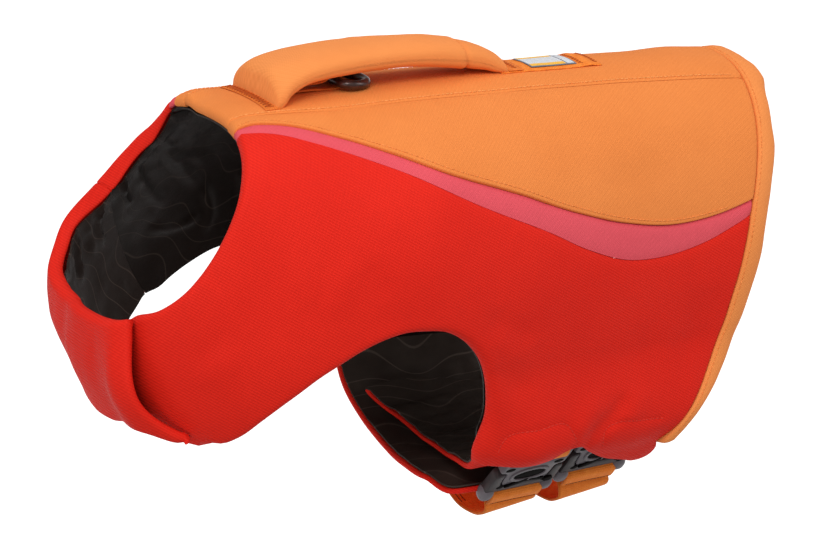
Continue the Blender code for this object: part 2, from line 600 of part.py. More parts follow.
def build_buckles():
    w = BUCKLE_W / 2
    for name, x in STRAPS:
        # male half: bar and slot for the strap below, two arms up the sides
        male = rounded([(-w, 0), (w, 0), (w, 13), (w - 0.6, 29.5), (w - 6.5, 31.5), (w - 7.5, 20), (w - 9, 15.5), (-w + 9, 15.5),
                        (-w + 7.5, 20), (-w + 6.5, 31.5), (-w + 0.6, 29.5), (-w, 13)], 2.5)
        slot = rounded([(-STRAP_W / 2 - 1, 4), (STRAP_W / 2 + 1, 4), (STRAP_W / 2 + 1, 10.5), (-STRAP_W / 2 - 1, 10.5)], 1.5)
        slab("buckle_%s_male" % name, [male, slot], x, name)
        female = rounded([(-w + 9.4, 16), (w - 9.4, 16), (w - 8, 20), (w - 7, 32.5), (w - 1.5, 33), (w - 1.5, 51), (-w + 1.5, 51),
                          (-w + 1.5, 33), (-w + 7, 32.5), (-w + 8, 20)], 2.0)
        slot = rounded([(-STRAP_W / 2 - 1, 40.8), (STRAP_W / 2 + 1, 40.8), (STRAP_W / 2 + 1, 47), (-STRAP_W / 2 - 1, 47)], 1.5)
        slab("buckle_%s_female" % name, [female, slot], x, name)

        low, d, nrm = buckle_axes(name)

        def at(l, h):
            return tuple(low + d * l + nrm * h)

        rad = BUCKLE_T / 2 + 0.5 + WEBBING_T / 2

        def fold(slot_l, bar, sign):
            """Round the bar: in along the inner face, through the slot, back along the outer face."""
            return [at(bar, -rad), at(bar + sign * 2.4, -rad + 0.1), at(slot_l - sign * 0.7, -rad * 0.74), at(slot_l, -rad * 0.4), at(slot_l, 0),
                    at(slot_l, rad * 0.4), at(slot_l - sign * 0.7, rad * 0.74), at(bar + sign * 2.4, rad - 0.1), at(bar, rad)]
        # strap: sewn under the belly, sags, comes up through the slot from inside and folds back over the bar
        path = [(34.0, -252.6), (20.0, -256.4), (2.0, -262.0), (-18.0, -265.0), (-34.0, -262.6), (-43.0, -256.6), at(-2.0, -rad + 0.2)]
        path += fold(7.25, 1.8, 1) + [at(-3.0, rad - 0.2), at(-7.4, 3.4)]
        ribbon("strap_%s" % name, path, x, STRAP_W, WEBBING_T, step=2.6)
        # anchor: sewn inside the side, down through the upper slot and folded back over the bar
        path = [on_form(x, 0.694, 3.2), on_form(x, 0.716, 3.8), at(53.5, -rad + 0.6)] + fold(43.9, 49.2, -1) + [at(53.5, rad - 0.9), at(57.5, rad - 3.2)]
        ribbon("anchor_%s" % name, path, x, STRAP_W, WEBBING_T, step=2.6)


def on_form(x, r, d):
    """(y, z) of the point of the form at distance x along it, girth r and height d."""
    us = np.linspace(0, 1, 401)
    u = np.interp(x, surf(us, r, d)[:, 0], us)
    return tuple(surf(u, r, d)[1:])


def main():
    clear_scene()
    build_cloth()
    build_handle()
    strip_on_back("handle_tab_front", -163.0, -147.5, 58.0, 10.4, 12.4, "orange_webbing", n=3)
    strip_on_back("handle_tab_rear", 21.5, 31.0, 27.0, 12.8, 14.6, "orange_webbing", n=2)
    build_ring()
    build_ring_tab()
    strip_on_back("rear_strip", 14.0, 86.0, 27.0, 10.4, 12.2, "orange_webbing", n=9)
    strip_on_back("label", 37.0, 70.0, 21.0, 12.5, 13.2, "label_cloth", n=5)
    build_buckles()


main()
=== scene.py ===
"""Looks of the padded dog life jacket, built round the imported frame.

Lengths are millimetres until a mesh is made.  The dog faces -X and its left side is -Y.  Cloth is drafted on the
same form as the frame's: a point of a pattern piece is (u, r), u from the neck opening to the rear opening and r
from the spine round the left side to the belly.
"""
import math

import bpy
import bmesh
import numpy as np
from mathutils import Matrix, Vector
from mathutils.bvhtree import BVHTree
from mathutils.geometry import delaunay_2d_cdt

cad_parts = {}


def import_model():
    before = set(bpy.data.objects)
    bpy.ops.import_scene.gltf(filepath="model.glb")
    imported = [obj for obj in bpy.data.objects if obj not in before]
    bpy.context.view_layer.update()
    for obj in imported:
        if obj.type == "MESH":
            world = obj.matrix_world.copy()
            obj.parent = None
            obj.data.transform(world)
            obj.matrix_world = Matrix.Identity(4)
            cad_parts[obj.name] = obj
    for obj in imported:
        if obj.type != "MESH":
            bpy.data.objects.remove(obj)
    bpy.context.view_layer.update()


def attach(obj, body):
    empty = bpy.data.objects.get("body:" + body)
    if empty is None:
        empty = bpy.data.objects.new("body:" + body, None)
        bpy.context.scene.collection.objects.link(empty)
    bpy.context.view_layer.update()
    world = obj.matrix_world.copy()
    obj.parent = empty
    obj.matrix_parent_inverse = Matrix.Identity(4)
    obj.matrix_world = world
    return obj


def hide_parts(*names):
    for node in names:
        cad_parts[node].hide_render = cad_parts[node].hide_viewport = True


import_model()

SCALE = 0.001
PATTERN = 360.0
U_MM, R_MM = 375.0, 350.0
FINE = 1.0     # coarser lattice while trying things

# ---------------------------------------------------------------- body form
# u, top x and z, bottom x and z, half width, widest place, roundness above and below it
FORM = [
    (0.00, -183, 3.0, -257,  -99,  76, 0.52, 2.70, 2.9),
    (0.12, -150, 4.0, -254, -146,  88, 0.50, 2.50, 2.8),
    (0.25, -112, 3.0, -228, -190, 101, 0.50, 2.40, 2.6),
    (0.40,  -70, 2.0, -160, -222, 109, 0.48, 2.30, 2.5),
    (0.55,  -20, 0.5,  -80, -238, 105, 0.48, 2.15, 2.4),
    (0.70,   40, -2.0,   2, -244,  95, 0.48, 2.05, 2.4),
    (0.85,  112, -7.0,  66, -247,  84, 0.49, 2.00, 2.5),
    (1.00,  192, -13.0, 119, -250,  77, 0.50, 2.00, 2.6),
]
SPINE_SEAM = [(0.00, 0.118), (0.13, 0.109), (0.30, 0.099), (0.45, 0.094), (0.62, 0.092), (0.80, 0.090), (1.00, 0.090)]
STRIPE_TOP = [(0.00, 0.165), (0.045, 0.150), (0.095, 0.148), (0.225, 0.177), (0.325, 0.208), (0.43, 0.245),
              (0.58, 0.288), (0.67, 0.323), (0.76, 0.349), (0.845, 0.359), (0.915, 0.349), (1.00, 0.315)]
STRIPE_LOW = [(0.00, 0.190), (0.08, 0.182), (0.165, 0.195), (0.325, 0.236), (0.475, 0.292), (0.62, 0.349), (0.695, 0.388),
              (0.76, 0.411), (0.835, 0.413), (0.90, 0.396), (1.00, 0.338)]
REAR_SEAM = [(0.00, 0.985), (0.18, 0.986), (0.35, 0.976), (0.50, 0.970), (0.58, 0.964), (0.64, 0.948), (0.68, 0.928), (0.715, 0.903),
             (0.755, 0.880)]
ARCH = [(0.583, 0.752), (0.573, 0.722), (0.571, 0.692), (0.571, 0.660), (0.564, 0.620), (0.553, 0.585), (0.538, 0.555), (0.518, 0.530),
        (0.493, 0.509), (0.462, 0.495), (0.430, 0.489), (0.400, 0.492), (0.370, 0.505), (0.340, 0.530), (0.318, 0.557),
        (0.300, 0.583), (0.284, 0.615), (0.270, 0.648), (0.259, 0.684), (0.252, 0.720), (0.242, 0.752)]
HEM_LEFT = [(0.880, 0.755), (0.889, 0.768), (0.889, 0.781), (0.884, 0.791), (0.873, 0.797), (0.857, 0.798), (0.828, 0.787), (0.778, 0.766), (0.744, 0.742),
            (0.712, 0.718), (0.692, 0.720), (0.676, 0.733), (0.644, 0.740), (0.614, 0.744), (0.591, 0.752)]
HEM_RIGHT = [(0.880, 0.755), (0.886, 0.795), (0.874, 0.824), (0.850, 0.832), (0.810, 0.806), (0.775, 0.772), (0.755, 0.764),
             (0.735, 0.776), (0.705, 0.796), (0.675, 0.800), (0.640, 0.786), (0.610, 0.766)]
ARM_END = [(0.233, 0.792), (0.200, 0.832), (0.180, 0.880), (0.168, 0.925), (0.120, 0.935), (0.070, 0.935), (0.034, 0.925)]
CHEST_SEAM = [(0.000, 0.500), (0.100, 0.520), (0.200, 0.560), (0.290, 0.616)]
FLAP_END = [(0.000, 0.768), (0.050, 0.776), (0.090, 0.783), (0.125, 0.789), (0.160, 0.787), (0.188, 0.779), (0.202, 0.774)]
FLAP_LOW = [(0.2075, 0.7765), (0.203, 0.788), (0.167, 0.822), (0.159, 0.868), (0.168, 0.930), (0.170, 1.000), (0.169, 1.070), (0.186, 1.130),
            (0.210, 1.180), (0.232, 1.222), (0.252, 1.262), (0.266, 1.303), (0.278, 1.344), (0.290, 1.384)]
BELLY_INNER = [(0.600, 0.700), (0.618, 0.800), (0.636, 0.900), (0.642, 1.000), (0.636, 1.080), (0.618, 1.150), (0.606, 1.192),
               (0.640, 1.200), (0.760, 1.180), (0.870, 1.165), (0.905, 1.140), (0.915, 1.050), (0.915, 0.900), (0.905, 0.780), (0.890, 0.700)]
BELLY_OUTER = [(0.582, 1.300), (0.587, 1.230), (0.598, 1.150), (0.604, 1.070), (0.606, 1.000), (0.612, 0.940), (0.630, 0.892),
               (0.660, 0.876), (0.780, 0.874), (0.890, 0.878), (0.925, 0.900), (0.935, 0.980), (0.932, 1.100), (0.920, 1.220), (0.900, 1.300)]


ARCH = [(u + 0.008, r + (0.004 if u < 0.45 else 0.0)) for u, r in ARCH]


def curve(table, x):
    t = np.asarray(table, float)
    xs, ys = t[:, 0], t[:, 1:]
    h = np.diff(xs)[:, None]
    d = np.diff(ys, axis=0) / h
    m = np.empty_like(ys)
    m[:] = d[0]
    if len(xs) > 2:
        m[1:-1] = (h[1:] * d[:-1] + h[:-1] * d[1:]) / (h[1:] + h[:-1])
        m[0] = 1.5 * d[0] - 0.5 * m[1]
        m[-1] = 1.5 * d[-1] - 0.5 * m[-2]
    x = np.atleast_1d(np.asarray(x, float))
    i = np.clip(np.searchsorted(xs, x, side="right") - 1, 0, len(xs) - 2)
    k = ((x - xs[i]) / (xs[i + 1] - xs[i]))[:, None]
    k2, k3 = k * k, k ** 3
    return ((2 * k3 - 3 * k2 + 1) * ys[i] + (k3 - 2 * k2 + k) * h[i] * m[i]
            + (3 * k2 - 2 * k3) * ys[i + 1] + (k3 - k2) * h[i] * m[i + 1])


def smooth(x, a, b):
    t = np.clip((np.asarray(x, float) - a) / (b - a), 0, 1)
    return t * t * (3 - 2 * t)


NU, NR = 321, 241


def form_grid():
    us = np.linspace(0, 1, NU)
    xt, zt, xb, zb, w, q, nt, nb = [c[:, None] for c in curve(FORM, us).T]
    a = np.pi / 4 * (1 - np.cos(np.pi * np.linspace(0, 1, 400)))[None, :]
    y = np.concatenate([w * np.sin(a) ** (2 / nt), (w * np.cos(a) ** (2 / nb))[:, 1:]], 1)
    h = np.concatenate([q * (1 - np.cos(a) ** (2 / nt)), (q + (1 - q) * np.sin(a) ** (2 / nb))[:, 1:]], 1)
    x, z = xt + (xb - xt) * h, zt + (zb - zt) * h
    s = np.concatenate([np.zeros((NU, 1)), np.cumsum(np.sqrt(np.diff(x) ** 2 + np.diff(y) ** 2 + np.diff(z) ** 2), 1)], 1)
    r = np.linspace(0, 1, NR)
    return np.stack([np.stack([np.interp(r * s[k, -1], s[k], c[k]) for c in (x, y, z)], -1) for k in range(NU)])


GRID = form_grid()


def base(u, r):
    u, r = np.broadcast_arrays(np.asarray(u, float), np.asarray(r, float))
    side = np.where(r >= 0, -1.0, 1.0)
    a = np.abs(r)
    side = np.where(a > 1, -side, side)
    a = np.where(a > 1, 2 - a, a)
    uc = np.clip(u, 0, 1)
    fu, fr = uc * (NU - 1), np.clip(a, 0, 1) * (NR - 1)
    i, j = np.minimum(fu.astype(int), NU - 2), np.minimum(fr.astype(int), NR - 2)
    du, dr = (fu - i)[..., None], (fr - j)[..., None]
    p = ((GRID[i, j] * (1 - dr) + GRID[i, j + 1] * dr) * (1 - du)
         + (GRID[i + 1, j] * (1 - dr) + GRID[i + 1, j + 1] * dr) * du)
    ia, ib = np.where(u > 1, NU - 1, 8), np.where(u > 1, NU - 9, 0)
    step = (GRID[ia, j] - GRID[ib, j]) * (1 - dr) + (GRID[ia, j + 1] - GRID[ib, j + 1]) * dr
    p = p + (u - uc)[..., None] * step * (NU - 1) / 8
    p[..., 1] *= side
    return p


def normal(u, r):
    e = 0.012
    n = np.cross(base(u, r + e) - base(u, r - e), base(u + e, r) - base(u - e, r))
    return n / np.linalg.norm(n, axis=-1, keepdims=True)


def bump(x, a, b, c, d):
    """0 at a, 1 from b to c, 0 again at d."""
    return smooth(x, a, b) * (1 - smooth(x, c, d))


def cloth_pull(u, r):
    """Where the cloth's own tension draws it in from the full round of the form, or lets it stand out."""
    far = np.where(r < 0, -r, np.where(r > 1, 2 - r, 0.0))
    shoulder = -9.4 * bump(far, 0.15, 0.30, 0.45, 0.64) * (1 - smooth(u, 0.02, 0.30))
    front = 3.6 * bump(r, 1.06, 1.14, 1.21, 1.33) * (1 - smooth(u, 0.05, 0.12))
    nape = 2.4 * bump(far, 0.06, 0.11, 0.17, 0.24) * (1 - smooth(u, 0.02, 0.13))
    crown = 1.3 * (1 - smooth(np.abs(r), 0.06, 0.16)) * bump(u, 0.72, 0.82, 0.92, 0.985)
    crown = crown + 1.7 * smooth(u, 0.87, 0.94) * (1 - smooth(r, -0.04, 0.01)) * (1 - smooth(-r, 0.06, 0.15))
    under = -4.6 * bump(r, 0.82, 0.92, 1.16, 1.32) * smooth(u, 0.06, 0.15) * (1 - smooth(u, 0.24, 0.34))
    return shoulder + front + under + nape + crown


def surf(u, r, d):
    u, r, d = np.broadcast_arrays(np.asarray(u, float), np.asarray(r, float), np.asarray(d, float))
    return base(u, r) + normal(u, r) * (d + cloth_pull(u, r))[..., None]


def hem_flare(u, r):
    return 18.8 * smooth(r, 0.570, 0.735) * smooth(u, 0.545, 0.655) * (1 - 0.5 * smooth(u, 0.91, 0.99))


def arm_lift(u, r):
    return 9.2 * (1 - smooth(r, 0.98, 1.16))


def inner_flap(u, r):
    return -3.9 + 5.4 * bump(r, 0.72, 0.78, 0.82, 0.93) - 3.0 * smooth(r, 0.80, 0.90) - 2.2 * smooth(r, 0.92, 1.02) - 3.6 * smooth(r, 1.02, 1.12)


def outer_flap(u, r):
    return -4.0 * smooth(r, 0.99, 1.12) + 1.0 - 1.2 * bump(r, 1.10, 1.26, 1.4, 1.5)


def outer_sag(u, r):
    """The outer flap's front hangs a little below the belly."""
    return (5.8 * bump(r, 0.80, 0.87, 0.91, 1.02) + 7.4 * bump(r, 0.82, 0.86, 0.895, 0.945)) * (1 - smooth(u, 0.66, 0.80))


def noise(x, y, cell, seed):
    """Smooth value noise, -1 to 1."""
    gx, gy = np.asarray(x, float) / cell, np.asarray(y, float) / cell
    i, j = np.floor(gx).astype(np.int64), np.floor(gy).astype(np.int64)
    fx, fy = gx - i, gy - j
    fx, fy = fx * fx * (3 - 2 * fx), fy * fy * (3 - 2 * fy)

    def h(a, b):
        n = (a * 374761393 + b * 668265263 + seed * 144269504) & 0xffffffff
        n = ((n ^ (n >> 13)) * 1274126177) & 0xffffffff
        return ((n ^ (n >> 16)) & 0xffff) / 32767.5 - 1
    return ((h(i, j) * (1 - fx) + h(i + 1, j) * fx) * (1 - fy) + (h(i, j + 1) * (1 - fx) + h(i + 1, j + 1) * fx) * fy)


# ---------------------------------------------------------------- outlines
def resample(points, step=15.0):
    p = np.asarray(points, float)
    s = np.concatenate([[0], np.cumsum(np.hypot(*np.diff(p, axis=0).T) * PATTERN)])
    n = max(1, int(round(s[-1] / step)))
    return curve(np.column_stack([s, p]), np.linspace(0, s[-1], n + 1))


def outline(edges, step=3.0):
    """Closed outline from (points, kind) edges.  kinds[i] belongs to the stretch that ends at point i."""
    pts, kinds = [], []
    for e, kind in edges:
        q = resample(e, step)
        if pts and np.hypot(*(q[0] - pts[-1])) * PATTERN < 2.0:
            q = q[1:]
        for p in q:
            pts.append(p)
            kinds.append(kind)
    if np.hypot(*(pts[0] - pts[-1])) * PATTERN < 2.0:
        pts.pop()
        kinds[0] = kinds.pop()
    return np.array(pts), kinds


def inside(poly, pts):
    x, y = pts[:, 0], pts[:, 1]
    res = np.zeros(len(pts), bool)
    for (x0, y0), (x1, y1) in zip(poly, np.roll(poly, -1, axis=0)):
        c = (y0 > y) != (y1 > y)
        with np.errstate(divide="ignore", invalid="ignore"):
            res ^= c & (x < (x1 - x0) * (y - y0) / (y1 - y0) + x0)
    return res


def line_distance(lines, pts):
    """Distance of each point to the nearest of some segments, and how far along them it is, 0 to 1."""
    best, at = np.full(len(pts), 1e9), np.zeros(len(pts))
    n = max(1, len(lines))
    for k, (a, b) in enumerate(lines):
        ab = b - a
        t = np.clip(((pts - a) @ ab) / max(ab @ ab, 1e-9), 0, 1)
        d = np.hypot(*(pts - a - t[:, None] * ab).T)
        m = d < best
        best, at = np.where(m, d, best), np.where(m, (k + t) / n, at)
    return best, at


def inward(poly):
    a, b = np.roll(poly, 1, axis=0), np.roll(poly, -1, axis=0)
    area = np.sum(poly[:, 0] * b[:, 1] - b[:, 0] * poly[:, 1])
    e0, e1 = poly - a, b - poly
    n0 = np.column_stack([-e0[:, 1], e0[:, 0]]) / np.hypot(*e0.T)[:, None].clip(1e-9)
    n1 = np.column_stack([-e1[:, 1], e1[:, 0]]) / np.hypot(*e1.T)[:, None].clip(1e-9)
    n = n0 + n1
    n = n / (np.sum(n * n0, axis=1))[:, None].clip(0.35)
    return n if area > 0 else -n


def crease(points, half, amp, ends=0.4):
    """Soft ridge (amp above 0) or trough along a line of (u, r) points; half is its half width in mm."""
    q = resample(points, 5.0) * PATTERN

    def f(u, r):
        shape = np.shape(u)
        p = np.column_stack([np.ravel(u), np.ravel(r)]) * PATTERN
        d, at = line_distance(list(zip(q, q[1:])), p)
        return (amp * np.exp(-(d / half) ** 2) * smooth(at, 0, ends) * smooth(1 - at, 0, ends)).reshape(shape)
    return f


def total(*fs):
    return lambda u, r: sum(f(u, r) for f in fs)


def flat(h):
    return lambda u, r: np.full(np.shape(u), float(h))


# ---------------------------------------------------------------- meshes
def to_object(name, verts, faces, mat, uv=None, angle=55):
    me = bpy.data.meshes.new(name)
    me.from_pydata([tuple(v) for v in np.asarray(verts, float) * SCALE], [], [tuple(int(i) for i in f) for f in faces])
    if uv is not None:
        layer = me.uv_layers.new(name="cloth")
        idx = np.empty(len(me.loops), np.int32)
        me.loops.foreach_get("vertex_index", idx)
        layer.uv.foreach_set("vector", np.asarray(uv, np.float32)[idx].ravel())
    me.update()
    bm = bmesh.new()
    bm.from_mesh(me)
    bmesh.ops.recalc_face_normals(bm, faces=bm.faces)
    if bm.calc_volume(signed=True) < 0:
        bmesh.ops.reverse_faces(bm, faces=bm.faces)
    bm.to_mesh(me)
    bm.free()
    me.shade_smooth()
    if angle < 180:
        me.set_sharp_from_angle(angle=math.radians(angle))
    if mat is not None:
        me.materials.append(mat)
    ob = bpy.data.objects.new(name, me)
    bpy.context.scene.collection.objects.link(ob)
    return ob


def tree_of(ob):
    me = ob.data
    return BVHTree.FromPolygons([tuple(v.co) for v in me.vertices], [tuple(p.vertices) for p in me.polygons])


def place(ob, body, slot, nodes=(), kind="padded", fill=0.7, **k):
    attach(ob, body)
    if nodes:
        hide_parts(*nodes)
    return ob


# how the height falls off towards an edge: radius, depth
ROUND = {"rim": 4.4, "neck": 4.0, "thin": 1.7, "soft": 3.2, "faced": 1.4, "free": 2.2}
DIP = {"seam": (2.6, 1.0), "quiet": (3.0, 0.55), "soft_seam": (3.4, 0.55), "lap": (0.9, 1.3), "under": (3.0, 1.25), "trim": (2.4, 1.1)}
OFFSETS = {"rim": (0.3, 0.8, 1.6, 2.8, 4.4), "neck": (0.3, 0.8, 1.6, 2.8, 4.0), "thin": (0.3, 0.8, 1.9), "free": (0.3, 1.0, 2.2), "faced": (0.3, 0.8, 1.9), "soft": (0.3, 0.9, 1.9, 3.2), "seam": (0.35, 0.9, 1.7, 2.6), "quiet": (0.4, 1.2, 2.6),
           "soft_seam": (0.5, 1.4, 3.0), "lap": (0.2, 0.5, 0.9, 1.8), "under": (0.5, 1.4, 3.0), "trim": (0.35, 0.9, 1.7, 2.6)}


def panel(name, edges, low, high, mat, lines=(), lattice=4.0, gap=0.15, step=3.0, side=1, tuck=0.0):
    """Padded pattern piece with edges finished by kind.  lines are stitch or crease lines that need close points."""
    lattice, step = lattice * FINE, step * FINE
    poly, kinds = outline(edges, step)
    poly = poly * PATTERN
    nrm = inward(poly)
    n = len(poly)
    if isinstance(gap, dict):
        gap = np.array([0.5 * (gap.get(kinds[i], 0.15) + gap.get(kinds[(i + 1) % n], 0.15)) for i in range(n)])[:, None]
    poly = poly + nrm * gap
    segs = {}
    for i in range(n):
        segs.setdefault(kinds[i], []).append((poly[i - 1], poly[i]))
    allseg = [(poly[i - 1], poly[i]) for i in range(n)]
    loose = []
    for i in range(n):
        for kind in sorted({kinds[i], kinds[(i + 1) % n]}):
            for o in OFFSETS.get(kind, ()):
                loose.append((*(poly[i] + nrm[i] * o), o))
    loose = np.array(loose).reshape(-1, 3)
    loose = loose[inside(poly, loose[:, :2])]
    loose = loose[line_distance(allseg, loose[:, :2])[0] > 0.9 * loose[:, 2]][:, :2]
    near = []
    for ln in lines:
        q = resample(ln, 2.6 * FINE) * PATTERN
        t = np.gradient(q, axis=0)
        t = np.column_stack([-t[:, 1], t[:, 0]]) / np.hypot(*t.T)[:, None]
        for o in (-2.2, -0.9, 0.0, 0.9, 2.2):
            near.append(q + t * o)
    if near:
        near = np.vstack(near)
        near = near[inside(poly, near)]
        dn, _ = line_distance(allseg, near)
        near = near[dn > 5.0]
    lo, hi = poly.min(axis=0), poly.max(axis=0)
    h = lattice * 0.866
    rows = np.arange(math.floor(lo[1] / h), math.ceil(hi[1] / h) + 1)
    cols = np.arange(math.floor(lo[0] / lattice) - 1, math.ceil(hi[0] / lattice) + 1)
    pts = np.array([((c + 0.5 * (k % 2)) * lattice, k * h) for k in rows for c in cols], float)
    pts = pts[inside(poly, pts)]
    d, _ = line_distance(allseg, pts)
    pts = pts[d > 4.4 + 0.35 * lattice]
    if len(near):
        lines_mm = [s for ln in lines for q in [resample(ln, 6.0) * PATTERN] for s in zip(q, q[1:])]
        d, _ = line_distance(lines_mm, pts)
        pts = pts[d > 2.2 + 0.4 * lattice]
        pts = np.vstack([pts, near])
    allp = np.vstack([poly, loose, pts])
    v2, _e, tris, _a, _b, _c = delaunay_2d_cdt([Vector(p) for p in allp], [(i, (i + 1) % n) for i in range(n)], [], 1, 1e-5)
    q = np.array([tuple(v) for v in v2])
    u, r = q[:, 0] / PATTERN, q[:, 1] / PATTERN
    D = {k: line_distance(s, q)[0] for k, s in segs.items()}
    top, bot = np.array(high(u, r), float), np.array(low(u, r), float)
    for k, dk in D.items():
        if k in DIP:
            rad, depth = DIP[k]
            t = 1 - np.clip(dk / rad, 0, 1)
            top = top - depth * (1 - np.sqrt(np.clip(1 - t * t, 0, 1)) if k in ("seam", "lap", "trim") else t * t * (3 - 2 * t))
    for k, dk in D.items():
        if k in ROUND:
            rad = ROUND[k]
            bot = bot - tuck * (1 - smooth(dk, 3.0, 5.0))
            mid = bot + 0.42 * (top - bot)
            t = 1 - np.clip(dk / rad, 0, 1)
            top = mid + (top - mid) * np.sqrt(np.clip(1 - t * t, 0.004, 1))
            t = 1 - np.clip(dk / (0.5 * rad), 0, 1)
            bot = mid - (mid - bot) * np.sqrt(np.clip(1 - t * t, 0.004, 1))
    rr = r * side
    verts = np.vstack([surf(u, rr, bot), surf(u, rr, top)])
    m = len(q)
    faces, count = [], set()
    for t in tris:
        t = list(t)
        faces.append(t[::-1])
        faces.append([k + m for k in t])
        count |= set(zip(t, t[1:] + t[:1]))
    for a, b in count:
        if (b, a) not in count:
            faces.append([a, b, b + m, a + m])
    uv = np.column_stack([u * U_MM, r * R_MM])
    return to_object(name, verts, faces, mat, np.vstack([uv, uv]))


def slab_grid(name, top, bottom, mat, uv=None, angle=45):
    """Closed slab between two equal grids of points."""
    n, m = top.shape[:2]
    verts = np.concatenate([top.reshape(-1, 3), bottom.reshape(-1, 3)])
    o = n * m
    faces = []
    for i in range(n - 1):
        for j in range(m - 1):
            a = i * m + j
            faces.append([a, a + 1, a + m + 1, a + m])
            faces.append([o + a, o + a + m, o + a + m + 1, o + a + 1])
    rim = [j for j in range(m)] + [i * m + m - 1 for i in range(1, n)] + [(n - 1) * m + j for j in range(m - 2, -1, -1)] + [i * m for i in range(n - 2, 0, -1)]
    for a, b in zip(rim, rim[1:] + rim[:1]):
        faces.append([a, b, o + b, o + a])
    uvs = None if uv is None else np.concatenate([uv.reshape(-1, 2)] * 2)
    return to_object(name, verts, faces, mat, uvs, angle)


def sweep(rings, closed=False):
    k, m = len(rings), len(rings[0])
    verts = np.concatenate(list(rings))
    faces = []
    for i in range(k if closed else k - 1):
        a, b = i * m, ((i + 1) % k) * m
        for j in range(m):
            j2 = (j + 1) % m
            faces.append([a + j, a + j2, b + j2, b + j])
    if not closed:
        faces.append(list(range(m))[::-1])
        faces.append([(k - 1) * m + j for j in range(m)])
    return verts, faces


def across(width, n=12, edge=(0.0, 0.22, 0.6, 1.2)):
    """Places across a flat strip, close together at its edges, and how full its thickness is there."""
    w = width / 2
    left = [-w + e for e in edge]
    mid = list(np.linspace(-w + 2.4, w - 2.4, n))
    a = np.array(left + mid + [-v for v in left[::-1]])
    t = 1 - np.clip((w - np.abs(a)) / edge[-1], 0, 1)
    return a, np.sqrt(np.clip(1 - t * t, 0.02, 1))


def smooth_path(path, step):
    p = np.asarray(path, float)
    s = np.concatenate([[0], np.cumsum(np.linalg.norm(np.diff(p, axis=0), axis=1))])
    n = max(2, int(round(s[-1] / step)))
    q = curve(np.column_stack([s, p]), np.linspace(0, s[-1], n + 1))
    return q, np.linspace(0, s[-1], n + 1)


def ribbon(name, path, x_mid, width, thick, mat, step=1.4, ripple=0.0, seed=3, tilt=None):
    """Webbing whose length follows a path in the (y, z) plane, and whose width lies along x."""
    q, s = smooth_path(path, step)
    t = np.gradient(q, axis=0)
    t /= np.hypot(*t.T)[:, None]
    nrm = np.column_stack([-t[:, 1], t[:, 0]])
    a, full = across(width)
    rip = ripple * noise(s[:, None] + 0 * a[None, :], a[None, :] + 0 * s[:, None], 11.0, seed)
    rise = 0 if tilt is None else tilt(q)[:, None] * (a[None, :] + width / 2)

    def grid(k):
        h = k * thick / 2 * full[None, :] + rip
        return np.stack([np.broadcast_to(x_mid + a, h.shape), q[:, 0, None] + nrm[:, 0, None] * h, q[:, 1, None] + nrm[:, 1, None] * h + rise], -1)
    uv = np.stack([np.broadcast_to(s[:, None], rip.shape), np.broadcast_to(a[None, :], rip.shape)], -1)
    return slab_grid(name, grid(1), grid(-1), mat, uv), q, nrm


def us_at(x, r=0.0):
    """u of the point of the form that is at distance x along it."""
    g = base(np.linspace(0, 1, 401), r)[:, 0]
    return np.interp(x, g, np.linspace(0, 1, 401))


def strip_on_back(name, x0, x1, width, low, high, mat, step=1.6, lift=None):
    us = us_at(np.linspace(x0, x1, int(abs(x1 - x0) / step) + 2))
    a, full = across(width)
    U = np.repeat(us[:, None], len(a), 1)
    girth = np.linalg.norm(base(us, 0.02) - base(us, -0.02), axis=1) / 0.04
    R = -a[None, :] / girth[:, None]
    s = np.linspace(0, abs(x1 - x0), len(us))
    end = 1 - np.clip(np.minimum(s, s[-1] - s) / 0.8, 0, 1)
    f = full[None, :] * np.sqrt(np.clip(1 - end ** 2, 0.03, 1))[:, None]
    extra = 0 if lift is None else lift(s[:, None], a[None, :])
    mid = (low + high) / 2
    uv = np.stack([np.broadcast_to(s[:, None], U.shape), np.broadcast_to(a[None, :], U.shape)], -1)
    return slab_grid(name, surf(U, R, mid + (high - mid) * f + extra), surf(U, R, mid - (mid - low) * f + extra), mat, uv)


# ---------------------------------------------------------------- stitches
def capsules(pairs, normals, radius, flatten=0.75):
    """Stitches: small closed capsules between pairs of points, as one mesh's points and faces."""
    A, B = np.asarray(pairs, float).transpose(1, 0, 2)
    t = B - A
    ln = np.linalg.norm(t, axis=1, keepdims=True)
    t = t / ln.clip(1e-6)
    N = np.asarray(normals, float)
    N = N - np.sum(N * t, axis=1, keepdims=True) * t
    N /= np.linalg.norm(N, axis=1, keepdims=True).clip(1e-6)
    S = np.cross(t, N)
    k = 6
    verts, faces = [], []
    stations = ((-0.9, 0.35), (0.0, 1.0), (1.0, 1.0), (1.9, 0.35))    # -: before A, over 1: past B
    for c in range(len(A)):
        o = len(verts)
        for at, f in stations:
            centre = A[c] + (B[c] - A[c]) * np.clip(at, 0, 1) + t[c] * (min(at, 0) + max(at - 1, 0)) * radius
            for j in range(k):
                a = 2 * math.pi * j / k
                verts.append(centre + radius * f * (S[c] * math.cos(a) + N[c] * math.sin(a) * flatten))
        for i in range(len(stations) - 1):
            for j in range(k):
                j2 = (j + 1) % k
                faces.append([o + i * k + j, o + i * k + j2, o + (i + 1) * k + j2, o + (i + 1) * k + j])
        faces.append([o + j for j in range(k)][::-1])
        faces.append([o + (len(stations) - 1) * k + j for j in range(k)])
    return verts, faces


